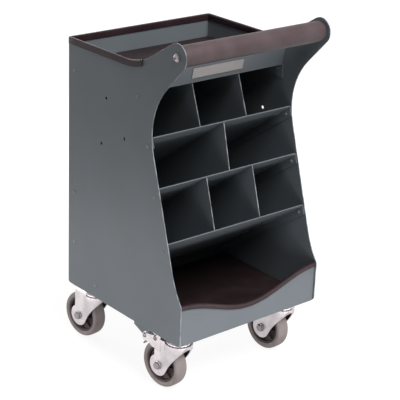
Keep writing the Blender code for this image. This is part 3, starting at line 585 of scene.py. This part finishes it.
def fit_out(piece: bpy.types.Object, body: str, finish: Finish, *nodes: str) -> None:
    """Gives a piece its finish and its body, and hides the nodes that it stands for.

    Args:
        piece: the new piece.
        body: the body that it moves with.
        finish: its finish.
        nodes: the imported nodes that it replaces.
    """
    piece.data.materials.clear()
    piece.data.materials.append(finish.material())
    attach(piece, body)
    if nodes:
        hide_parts(*nodes)
    log.info("%s rides on %s, %s faces", piece.name, body, len(piece.data.polygons))


def fit_eased(node: str, width: float, body: str, finish: Finish, limit: float = 42.0) -> None:
    """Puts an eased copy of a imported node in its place.

    Args:
        node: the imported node.
        width: the width of the easing.
        body: the body that it moves with.
        finish: its finish.
        limit: the angle in degrees past which an edge is eased.
    """
    fit_out(eased_copy(node, width, limit), body, finish, node)


def dress_node(node: str, finish: Finish) -> None:
    """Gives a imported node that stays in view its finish.

    Args:
        node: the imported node.
        finish: its finish.
    """
    mesh = frame["nodes"][node].data
    mesh.materials.clear()
    mesh.materials.append(finish.material())


# The cabinet


@dataclass(frozen=True)
class Cabinet:
    """The sheet-steel body: sides, back, floor, apron, tray, shelves, lugs and dividers."""

    easing: float = 0.00045
    plate_easing: float = 0.00025
    divider_counts: tuple[int, ...] = (2, 1, 2)

    def build(self) -> None:
        """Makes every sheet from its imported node, with eased edges."""
        sheets = ["left_side_panel", "right_side_panel", "back_panel", "base_plate",
                  "kick_apron", "top_tray", "shelf_1", "shelf_2", "shelf_3",
                  "front_lug_left", "front_lug_right"]
        for row, count in enumerate(self.divider_counts, start=1):
            sheets += [f"divider_{row}_{place}" for place in range(1, count + 1)]
        for sheet in sheets:
            fit_eased(sheet, self.easing, CABINET, PAINT)
        fit_eased("name_plate", self.plate_easing, CABINET, BARE)


@dataclass(frozen=True)
class Rivets:
    """Blind rivets through the side panels, two for each shelf and two for the tray.

    Each has a flanged dome outside and a formed end inside. tray and shelves are in the
    cabinet's own frame, as y and z; a shelf's third number is how far its last rivet stands
    before the back.
    """

    radius: float = 0.0034
    outer_rise: float = 0.0012
    inner_rise: float = 0.0015
    reach: float = 0.0004
    foot: float = 0.0003
    sides: int = 28
    tray: tuple[Pair, ...] = ((-0.2260, 0.4710), (-0.0200, 0.4710))
    shelves: tuple[Triple, ...] = ((-0.26912, 0.4013, 0.020), (-0.29338, 0.3058, 0.020),
                                   (-0.32472, 0.2020, 0.095))
    tilt: float = np.radians(35.2)
    below: float = 0.0110
    from_front: float = 0.020

    def places(self) -> list[Pair]:
        """Where the rivets sit.

        Returns:
            Each rivet's y and z in the model's frame.
        """
        along = np.array([np.cos(self.tilt), -np.sin(self.tilt)])
        drop = np.array([np.sin(self.tilt), np.cos(self.tilt)]) * self.below
        places = list(self.tray)
        for y, z, last in self.shelves:
            to_last = (-last - y + self.below * np.sin(self.tilt)) / np.cos(self.tilt)
            places += [tuple(np.array([y, z]) + along * step - drop)
                       for step in (self.from_front, to_last)]
        return [(y + ORIGIN[1], z + ORIGIN[2]) for y, z in places]

    def row(self, name: str, places: Sequence[Pair], seat: float, way: int, rise: float) -> None:
        """Makes the ends of all rivets on one face of a panel.

        Args:
            name: the piece's name.
            places: each rivet's y and z.
            seat: the x that they sit at.
            way: 1 for ends that stand towards +X, -1 towards -X.
            rise: their height.
        """
        shell = Shell()
        profile = [(-self.reach, self.radius), *dome(self.foot, self.radius, rise)[:-1]]
        profile += [(rise * 0.7, self.radius * 0.26), (rise * 0.45, self.radius * 0.2)]
        for y, z in places:
            shell.add(turned(profile, (seat, y, z), (way, 0, 0), self.sides))
        fit_out(shell.build(name), CABINET, RIVET)

    def build(self) -> None:
        """Makes the rivets' ends outside and inside both panels."""
        places = self.places()
        for side, way in (("left", -1), ("right", 1)):
            self.row(f"{side}_outer_rivets", places, way * EAR_SEAT, way, self.outer_rise)
            self.row(f"{side}_inner_rivets", places, way * FLANGE_SEAT, -way, self.inner_rise)


@dataclass(frozen=True)
class Mat:
    """A rubber mat with small pyramids.

    Height = top where i + j is odd and on the rim, top - stud elsewhere, for grid point i, j.
    """

    node: str
    pitch: float = 0.0046
    stud: float = 0.0011
    rim: float = 0.0030

    def build(self) -> None:
        """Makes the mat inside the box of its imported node."""
        low, high = (np.array(corner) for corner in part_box(self.node))
        counts = [int(round((high[i] - low[i]) / self.pitch * 2)) + 1 for i in (0, 1)]
        xs, ys = (np.linspace(low[i], high[i], counts[i]) for i in (0, 1))
        x, y = np.meshgrid(xs, ys, indexing="ij")
        inside = ((np.minimum(x - low[0], high[0] - x) > self.rim)
                  & (np.minimum(y - low[1], high[1] - y) > self.rim))
        odd = (np.add.outer(np.arange(counts[0]), np.arange(counts[1])) % 2).astype(float)
        z = high[2] - self.stud + self.stud * np.where(inside, odd, 1.0)
        top = np.stack([x, y, z], axis=-1)
        under = np.stack([x, y, np.full_like(x, low[2])], axis=-1)
        shell = Shell().add(np.concatenate([top, under[:, ::-1]], axis=1))
        fit_out(shell.build(f"{self.node}_studded", sharp=30.0), CABINET, MAT, self.node)


# Edge trims


@dataclass(frozen=True)
class TrimSection:
    """A U-shaped rubber edge trim, seen end on: a round crown, two lips and a slot."""

    width: float
    height: float
    edge: float = 0.0026
    crown: float = 0.0025
    slot: float = 0.0026
    slot_top: float = 0.0003
    lip: float = 0.0008

    def outline(self) -> Array:
        """The section's outline.

        Returns:
            Pairs of the place across the sheet and the rise from its edge, all the way round.
        """
        half, slot, low = self.width / 2, self.slot / 2, self.crown - self.height
        left = [(-slot, self.slot_top), (-slot, low + self.lip)]
        left += rounded((-slot - self.lip * 0.3, low), (-half, low),
                        (-half, low + self.lip * 1.2), steps=4)
        left += rounded((-half, self.crown - self.edge), (-half, self.crown),
                        (-half + self.edge, self.crown), steps=6)
        right = [(-across, rise) for across, rise in reversed(left)]
        return np.array(left + right)

    def sweep(self, name: str, node: str, path: Array, across: Array) -> None:
        """Carries the section along a path: point = path + across * place across + up * rise.

        Args:
            name: the piece's name.
            node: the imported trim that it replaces.
            path: points along the sheet's edge.
            across: a horizontal unit vector at each, towards the section's positive side.
        """
        section = self.outline()
        grid = path[:, None, :] + across[:, None, :] * section[None, :, :1]
        grid[:, :, 2] += section[None, :, 1]
        fit_out(Shell().add(grid).build(name, sharp=48.0), CABINET, TRIM, node)


@dataclass(frozen=True)
class RimTrim:
    """The trim on the cabinet's rim, in one length from the left side round the back.

    Places are in the cabinet's own frame: end_y is where the trim stops at the ears, and from
    blend_start forwards the rim rises along an arc of blend_r to the slope.
    """

    section: TrimSection = TrimSection(0.0070, 0.0135)
    end_y: float = -0.2390
    blend_start: float = -0.1856
    flat_start: float = -0.15
    rim: float = 0.5345
    slope: float = 0.62487
    blend_r: float = 0.140
    corner: float = 0.0036
    sheet: float = 0.002
    rise_steps: int = 16
    flat_steps: int = 8
    corner_steps: int = 7

    def height(self, y: Array) -> Array:
        """The top edge of the sides: flat, then an arc of blend_r, then the rise to the ears.

        Args:
            y: places in the cabinet's own frame.

        Returns:
            The edge's heights.
        """
        reach = np.clip(self.blend_start - y, 0, None)
        arc_end = self.blend_r * np.sin(np.arctan(self.slope))
        on_arc = self.blend_r - np.sqrt(self.blend_r**2 - np.clip(reach, 0, arc_end) ** 2)
        return self.rim + on_arc + np.clip(reach - arc_end, 0, None) * self.slope

    def build(self) -> None:
        """Makes the trim."""
        low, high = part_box("left_side_panel")[0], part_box("right_side_panel")[1]
        side = (high.x - low.x) / 2 - self.sheet / 2
        back = -self.sheet / 2
        turn = np.linspace(0, np.pi / 2, self.corner_steps)
        ys = np.concatenate([np.linspace(self.end_y, self.blend_start, self.rise_steps),
                             np.linspace(self.flat_start, back - self.corner, self.flat_steps)])
        left = np.stack([np.full_like(ys, -side), ys], axis=-1)
        centre = np.array([-side + self.corner, back - self.corner])
        bend = centre + self.corner * np.stack([-np.cos(turn), np.sin(turn)], axis=-1)
        half = np.concatenate([left, bend[1:]])
        inward = np.concatenate([np.tile([1.0, 0.0], (len(left), 1)),
                                 np.stack([np.cos(turn), -np.sin(turn)], axis=-1)[1:]])
        flat = np.concatenate([half, half[::-1] * [-1, 1]])
        across = np.concatenate([inward, inward[::-1] * [-1, 1]])
        path = np.column_stack([flat, self.height(flat[:, 1])]) + ORIGIN
        self.section.sweep("rim_trim_rubber", "rim_trim", path,
                           np.column_stack([across, np.zeros(len(across))]))


@dataclass(frozen=True)
class ApronTrim:
    """The trim on the apron's waved top edge: height = mid - wave * cos(2 pi x / width)."""

    section: TrimSection = TrimSection(0.0064, 0.0105, edge=0.0022)
    mid: float = 0.066
    wave: float = 0.020
    width: float = 0.365
    sheet_y: float = -0.3705
    stations: int = 72

    def build(self) -> None:
        """Makes the trim."""
        low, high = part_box("apron_trim")
        x = np.linspace(low.x, high.x, self.stations)
        z = self.mid - self.wave * np.cos(2 * np.pi * x / self.width)
        path = np.column_stack([x, np.full_like(x, self.sheet_y), z]) + ORIGIN
        self.section.sweep("apron_trim_rubber", "apron_trim", path,
                           np.tile([0.0, 1.0, 0.0], (len(x), 1)))


# The handle


@dataclass(frozen=True)
class Handle:
    """Tube, foam grip, plugs and the cross-head screws through the ears."""

    axis_y: float = -0.3385
    axis_z: float = 0.5735
    grip_r: float = 0.0205
    grip_bore: float = 0.0143
    grip_gap: float = 0.0018
    grip_soft: float = 0.0030
    grip_waist: float = 0.0002
    washer_r: float = 0.0080
    washer_t: float = 0.0012
    washer_soft: float = 0.0003
    head_r: float = 0.0062
    head_rise: float = 0.0034
    cross_half: float = 0.00085
    cross_reach: float = 0.0034
    cross_depth: float = 0.0017
    shank: tuple[Pair, ...] = ((-0.0160, 0.0026), (-0.0150, 0.0030), (0.0002, 0.0030))

    def build(self) -> None:
        """Makes the grip and the screws, and dresses the tube and the plugs."""
        centre = np.array([0.0, self.axis_y, self.axis_z]) + ORIGIN
        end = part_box("handle_tube")[1].x - self.grip_gap
        r, soft = self.grip_r, self.grip_soft
        half = [(0.0, r - self.grip_waist), (end * 0.35, r), (end * 0.8, r)]
        half += rounded((end - soft, r), (end, r), (end, r - soft), steps=6)
        half += [(end, self.grip_bore)]
        profile = mirrored(half[:0:-1], -1) + half
        sleeve = Shell().add(turned(profile, centre, (1, 0, 0), sides=72), closed=True)
        fit_out(sleeve.build("grip_sleeve"), CABINET, FOAM, "handle_grip")
        for side, way in (("left", -1), ("right", 1)):
            self.screw(f"{side}_ear_screw", centre, way, f"handle_screw_{side}")
        dress_node("handle_tube", ZINC)
        dress_node("handle_plug_left", PLUG)
        dress_node("handle_plug_right", PLUG)

    def screw(self, name: str, centre: Array, way: int, node: str) -> None:
        """A washer, a shank and a pan head with a cross recess.

        The head's rise at share s of its radius is head_rise * sqrt(1 - 0.86 * s ** 2.6), less
        cross_depth inside the cross.

        Args:
            name: the piece's name.
            centre: a point on the handle's axis.
            way: 1 on the right ear, -1 on the left.
            node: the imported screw.
        """
        base = centre + np.array([way * EAR_SEAT, 0, 0])
        bore, rim, top, soft = self.head_r * 0.5, self.washer_r, self.washer_t, self.washer_soft
        washer = [(0, bore), (0, rim - soft), (soft, rim), (top - soft, rim),
                  (top, rim - 0.0004), (top, bore)]
        shell = Shell().add(turned(washer, base, (way, 0, 0), sides=48), closed=True)
        share = np.linspace(0.02, 1, 22)[:, None]
        angle = np.linspace(0, 2 * np.pi, 96, endpoint=False)[None, :]
        u, v = share * self.head_r * np.cos(angle), share * self.head_r * np.sin(angle)
        along_u = (np.abs(v) < self.cross_half) & (np.abs(u) < self.cross_reach)
        along_v = (np.abs(u) < self.cross_half) & (np.abs(v) < self.cross_reach)
        rise = self.head_rise * np.sqrt(np.clip(1 - 0.86 * share**2.6, 0, 1))
        rise = rise - np.where(along_u | along_v, self.cross_depth, 0)
        head = np.stack([rise + top, u, v], axis=-1)
        foot = np.stack([np.full_like(u[-1:], top), u[-1:], v[-1:]], axis=-1)
        grid = np.concatenate([head, foot])
        grid[..., 0] *= way
        shell.add(grid + base)
        shell.add(turned(self.shank, base, (way, 0, 0), sides=24))
        fit_out(shell.build(name, sharp=32.0), CABINET, BOLT, node)


# Casters

PLATE_WASHER = ((0.0, 0.006), (0.0, 0.0086), (0.0004, 0.0090), (0.0012, 0.0090),
                (0.0014, 0.0086), (0.0014, 0.006))
PIN_HEAD = ((0.0206, 0.0046), (0.0209, 0.0050), *dome(0.0211, 0.0048, 0.0018))
# Half of the tyre, from the seat on the hub over the grooved side to the middle of the tread
TYRE_HALF = ((0.0125, 0.0385), (0.0138, 0.0395), (0.0142, 0.0403), (0.0139, 0.0409),
             (0.0146, 0.0418),
             *rounded((0.0150, 0.0440), (0.0150, 0.0492), (0.0084, 0.0497), steps=9),
             (0.0040, 0.04995), (0.0, 0.0500))
# One side of the hub, from the bore over the boss and the dished web to the rim
HUB_SIDE = ((0.0175, 0.0053), (0.0175, 0.0085), (0.0169, 0.0092), (0.0140, 0.0100),
            (0.0075, 0.0146), (0.0060, 0.0165), (0.0060, 0.0318),
            *rounded((0.0062, 0.0324), (0.0064, 0.0340), (0.0105, 0.0344), steps=4),
            (0.0115, 0.0347), (0.0119, 0.0353), (0.0119, 0.0372), (0.0115, 0.0382))
# A rib's two ends, at the boss and at the rim: radius, depth along the axle and half thickness
RIB_ENDS = ((0.0125, 0.0125, 0.0010), (0.0342, 0.0098, 0.0008))


@dataclass(frozen=True)
class Caster:
    """One swivel plate caster, built round its swivel axis with the wheel trailing along +y."""

    corner: str
    x: float
    y: float
    yaw: float
    brake: bool
    plate_z: float = 0.1325
    plate_t: float = 0.0040
    plate_easing: float = 0.0006
    bolts: Pair = (0.030, 0.033)
    trail: float = 0.0367
    axle_z: float = 0.0500
    fork_face: float = 0.0211
    fork_easing: float = 0.0005
    fork_eased_over: float = 50.0
    web_face: float = 0.0055
    ribs: int = 8
    brake_easing: float = 0.0005
    pedal_easing: float = 0.0004
    brake_pins: tuple[Pair, ...] = ((0.0470, 0.0258), (0.0768, 0.0300))

    def place(self, grid: Array) -> Array:
        """Turns a grid by the yaw and moves it to the swivel axis; its z stays.

        Args:
            grid: points in the caster's frame.

        Returns:
            The points in the model's frame.
        """
        c, s = np.cos(self.yaw), np.sin(self.yaw)
        turn = np.array([[c, s, 0], [-s, c, 0], [0, 0, 1]])
        return grid @ turn + np.array([self.x, self.y, 0])

    def own(self, name: str) -> str:
        """The full name of one of this caster's nodes, bodies or pieces."""
        return f"{self.corner}_{name}"

    def build(self) -> None:
        """Makes the plate, the race, the fork, the wheel and, if it has one, the brake."""
        fit_eased(self.own("caster_plate"), self.plate_easing, CABINET, ZINC)
        self.washers()
        self.race()
        self.king_pin()
        fit_eased(self.own("fork"), self.fork_easing, self.own("swivel"), ZINC,
                  self.fork_eased_over)
        self.axle()
        self.tyre()
        self.hub()
        if self.brake:
            self.brake_parts()

    def washers(self) -> None:
        """The washers under the four bolt heads of the plate."""
        shell = Shell()
        for x in (-self.bolts[0], self.bolts[0]):
            for y in (-self.bolts[1], self.bolts[1]):
                centre = (self.x + x, self.y + y, self.plate_z - self.plate_t)
                shell.add(turned(PLATE_WASHER, centre, (0, 0, -1), sides=32), closed=True)
        fit_out(shell.build(self.own("bolt_washers")), CABINET, ZINC)

    def race(self) -> None:
        """The ball race: a wide lip at its foot, then a drum with a seam."""
        under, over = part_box(self.own("caster_race"))
        low, top, lip = under.z, over.z, (over.x - under.x) / 2
        drum, bore, seam, soft = lip - 0.0027, 0.0063, low + 0.0100, 0.0006
        profile = [(low, bore), (low, lip - soft), (low + 0.0005, lip)]
        profile += rounded((low + 0.0026, lip), (low + 0.0039, lip), (low + 0.0040, drum), steps=5)
        profile += [(seam - soft, drum), (seam, drum - 0.0009), (seam + soft, drum)]
        profile += [(top - 0.0005, drum), (top, drum - soft), (top, bore)]
        grid = turned(profile, (self.x, self.y, 0), (0, 0, 1), sides=64)
        shell = Shell().add(grid, closed=True)
        fit_out(shell.build(self.own("ball_race")), CABINET, ZINC, self.own("caster_race"))

    def king_pin(self) -> None:
        """The king pin, with its formed head under the race."""
        pin_r, head_r = 0.006, 0.011
        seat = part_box(self.own("king_pin"))[0].z + 0.0030
        profile = [(self.plate_z - 0.0043, pin_r), (seat, pin_r), (seat, head_r - 0.0002),
                   (seat - 0.0006, head_r), *dome(seat - 0.0010, head_r, -0.0020)]
        shell = Shell().add(turned(profile, (self.x, self.y, 0), (0, 0, 1), sides=40))
        fit_out(shell.build(self.own("king_pin_head")), CABINET, ZINC, self.own("king_pin"))

    def at_axle(self, profile: Sequence[Pair], sides: int) -> Array:
        """Turns a profile about the axle.

        Args:
            profile: pairs of the place along the axle and the radius.
            sides: how many points go round.

        Returns:
            The grid in the model's frame.
        """
        return self.place(turned(profile, (0, self.trail, self.axle_z), (1, 0, 0), sides))

    def axle(self) -> None:
        """The axle bolt: washers, a chamfered hexagon head and a lock nut with its collar."""
        face, washer, head, nut = self.fork_face, 0.0014, 0.0050, 0.0035
        seat = face + washer
        ring = [(face, 0.0045), (face, 0.0088), (face + 0.0003, 0.0092), (seat - 0.0003, 0.0092),
                (seat, 0.0088), (seat, 0.0045)]
        rod = [(-face - 0.0005, 0.005), (face + 0.0005, 0.005)]
        shell = Shell().add(self.at_axle(rod, sides=32))
        for way, tall in ((-1, head), (1, nut)):
            shell.add(self.at_axle(mirrored(ring, way), sides=40), closed=True)
            start = seat - 0.0002
            hexagon = [(start, 0.0080), (start + tall - 0.0008, 0.0080), (start + tall, 0.0071)]
            shell.add(self.at_axle(mirrored(hexagon, way), sides=6))
        top = seat + nut
        collar = [(top - 0.0005, 0.0062), (top + 0.0008, 0.0060), (top + 0.0013, 0.0052)]
        shell.add(self.at_axle(collar, sides=32))
        tip = [(top, 0.0038), (top + 0.0014, 0.0038), (top + 0.0016, 0.0034)]
        shell.add(self.at_axle(tip, sides=24))
        fit_out(shell.build(self.own("axle_and_nut")), self.own("swivel"), BOLT,
                self.own("axle_bolt"))

    def tyre(self) -> None:
        """The tyre, with a crowned tread and a grooved side."""
        profile = [*TYRE_HALF, *mirrored(TYRE_HALF[-2::-1], -1)]
        shell = Shell().add(self.at_axle(profile, sides=112), closed=True)
        fit_out(shell.build(self.own("tread_tyre")), self.own("wheel"), TYRE, self.own("tyre"))

    def hub(self) -> None:
        """The hub, with ribs on both sides of its web."""
        profile = [*HUB_SIDE, *mirrored(HUB_SIDE[::-1], -1)]
        shell = Shell().add(self.at_axle(profile, sides=80), closed=True)
        for turn in np.linspace(0, 2 * np.pi, self.ribs, endpoint=False):
            for way in (-1, 1):
                shell.add(self.rib(turn, way))
        fit_out(shell.build(self.own("ribbed_hub")), self.own("wheel"), HUB,
                self.own("wheel_hub"))

    def rib(self, turn: float, way: int) -> Array:
        """One tapered rib of the hub: its depth falls from the boss to the rim.

        Args:
            turn: its angle round the axle.
            way: the side of the hub.

        Returns:
            A grid of two rings, at the boss and at the rim.
        """
        rings = []
        for radius, depth, half in RIB_ENDS:
            ring = [(self.web_face, -half), (depth, -half * 0.7), (depth, half * 0.7),
                    (self.web_face, half)]
            rings.append([(way * along, radius, across) for along, across in ring])
        along, radius, across = np.moveaxis(np.array(rings), -1, 0)
        c, s = np.cos(turn), np.sin(turn)
        y = self.trail + radius * c - across * s
        z = self.axle_z + radius * s + across * c
        return self.place(np.stack([along, y, z], axis=-1))

    def brake_parts(self) -> None:
        """The brake's housing, its pin heads and the pedal."""
        fit_eased(self.own("brake_housing"), self.brake_easing, self.own("swivel"), ZINC)
        shell = Shell()
        for y, drop in self.brake_pins:
            for way in (-1, 1):
                centre = (0, y, self.plate_z - drop)
                head = turned(mirrored(PIN_HEAD, way), centre, (1, 0, 0), sides=32)
                shell.add(self.place(head))
        fit_out(shell.build(self.own("brake_pin_heads")), self.own("swivel"), STEEL)
        fit_eased(self.own("brake_pedal"), self.pedal_easing, self.own("pedal"), PEDAL)


def casters() -> list[Caster]:
    """Finds the casters at the record's swivel joints, with their yaws from the wheels' axes.

    Returns:
        A caster for each swivel joint, in the record's order.
    """
    joints = {joint["name"]: joint for joint in frame["record"]["behaviour"]["joints"]}
    found = []
    for name, joint in joints.items():
        if name.endswith("_swivel_turn"):
            corner = joint["child"].removesuffix("_swivel")
            axle = joints[f"{corner}_wheel_spin"]["axis"]
            x, y = joint["pos_m"][:2]
            yaw = float(np.arctan2(axle[1], axle[0]))
            found.append(Caster(corner, x, y, yaw, brake=corner.startswith("front")))
    return found


# The studio


@dataclass(frozen=True)
class Lamp:
    """A soft box that faces a target and stays out of the picture; its power is in watts."""

    name: str
    place: Triple
    target: Triple
    size: Pair
    power: float

    def build(self) -> None:
        """Hangs the lamp."""
        data = bpy.data.lights.new(self.name, "AREA")
        data.shape = "RECTANGLE"
        data.size, data.size_y = self.size
        data.energy = self.power
        lamp = bpy.data.objects.new(self.name, data)
        lamp.visible_camera = False
        lamp.location = self.place
        aim = Vector(self.target) - Vector(self.place)
        lamp.rotation_euler = aim.to_track_quat("-Z", "Y").to_euler()
        bpy.context.scene.collection.objects.link(lamp)


@dataclass(frozen=True)
class Studio:
    """Floor, world, lamps and the camera, which stands at eye with its right, up and back."""

    eye: Triple = (-1.6728, -1.9731, 1.3601)
    right: Triple = (0.7653, -0.6426, 0.0373)
    up: Triple = (0.2111, 0.3053, 0.9286)
    back: Triple = (-0.6081, -0.7027, 0.3693)
    lens: float = 120.8
    floor_half: float = 14.0
    floor_tone: float = 0.15
    world_light: float = 0.04
    lamps: tuple[Lamp, ...] = (
        Lamp("top_box", (-0.15, -1.9, 2.9), (0.0, 0.0, 0.4), (1.6, 1.6), 122.0),
        Lamp("left_strip", (-0.58, -0.1, 0.05), (-0.18, -0.1, 0.08), (1.6, 0.09), 2.7),
        Lamp("front_strip", (0.05, -0.50, 0.04), (0.05, -0.2, 0.08), (0.9, 0.05), 1.15),
        Lamp("right_strip", (1.4, 0.0, 0.5), (0.18, 0.0, 0.35), (2.0, 0.8), 12.0),
        Lamp("back_strip", (0.0, 1.6, 0.6), (0.0, 0.17, 0.4), (2.0, 0.8), 16.0),
    )

    def build(self) -> None:
        """Makes the whole studio."""
        self.camera()
        self.floor()
        self.world()
        for lamp in self.lamps:
            lamp.build()
        bpy.context.scene.view_settings.view_transform = "Standard"

    def camera(self) -> None:
        """Sets the camera where the photograph was taken from."""
        data = bpy.data.cameras.new("photo_camera")
        data.lens = self.lens
        data.sensor_width = 36.0
        data.clip_start, data.clip_end = 0.05, 60.0
        camera = bpy.data.objects.new("photo_camera", data)
        turn = Matrix((self.right, self.up, self.back)).transposed()
        camera.matrix_world = Matrix.Translation(self.eye) @ turn.to_4x4()
        bpy.context.scene.collection.objects.link(camera)
        bpy.context.scene.camera = camera

    def floor(self) -> None:
        """A wide pale floor that keeps the shadow and glows white away from the cart."""
        h, tone = self.floor_half, self.floor_tone
        mesh = bpy.data.meshes.new("studio_floor")
        mesh.from_pydata([(-h, -h, 0), (h, -h, 0), (h, h, 0), (-h, h, 0)], [], [(0, 1, 2, 3)])
        made = bpy.data.materials.new("pale_floor")
        made.use_nodes = True
        tree = made.node_tree
        shader = tree.nodes["Principled BSDF"]
        fill(tree, shader, {"Base Color": (tone, tone, tone, 1.0), "Roughness": 0.9})
        matt = shader.outputs["BSDF"]
        place = put(tree, "TexCoord", "Object")
        away = put(tree, "VectorMath", "Value", {0: place}, operation="LENGTH")
        glow = {"Value": away, "From Min": 0.45, "From Max": 1.1, "To Min": 0.88, "To Max": 1.0}
        strength = put(tree, "MapRange", "Result", glow)
        light = put(tree, "Emission", "Emission", {"Strength": strength})
        bright = put(tree, "AddShader", "Shader", {0: matt, 1: light})
        choice = {"Fac": self.seen(tree), 1: matt, 2: bright}
        surface = put(tree, "MixShader", "Shader", choice)
        fill(tree, tree.nodes["Material Output"], {"Surface": surface})
        mesh.materials.append(made)
        link("studio_floor", mesh)

    @staticmethod
    def seen(tree: Tree) -> Socket:
        """A value that is 1 for rays from the camera, from gloss and through glass.

        Args:
            tree: the nodes to add to.

        Returns:
            The value's socket.
        """
        rays = tree.nodes.new("ShaderNodeLightPath").outputs
        value = rays["Is Camera Ray"]
        for other in ("Is Glossy Ray", "Is Transmission Ray"):
            value = put(tree, "Math", "Value", {0: value, 1: rays[other]}, operation="MAXIMUM")
        return value

    def world(self) -> None:
        """A white world that lights the cart more weakly than it shows."""
        world = bpy.data.worlds.new("white_studio")
        bpy.context.scene.world = world
        world.use_nodes = True
        tree = world.node_tree
        light = {"Value": self.seen(tree), "To Min": self.world_light, "To Max": 1.0}
        strength = put(tree, "MapRange", "Result", light)
        fill(tree, tree.nodes["Background"], {"Color": (1.0, 1.0, 1.0, 1.0), "Strength": strength})


def main() -> None:
    """Builds the studio, then the cart's pieces in order."""
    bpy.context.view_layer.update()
    parts = [Studio(), Cabinet(), Rivets(), Mat("tray_mat"), Mat("bay_mat"), RimTrim(),
             ApronTrim(), Handle(), *casters()]
    for part in parts:
        part.build()


if __name__ == "__main__":
    main()
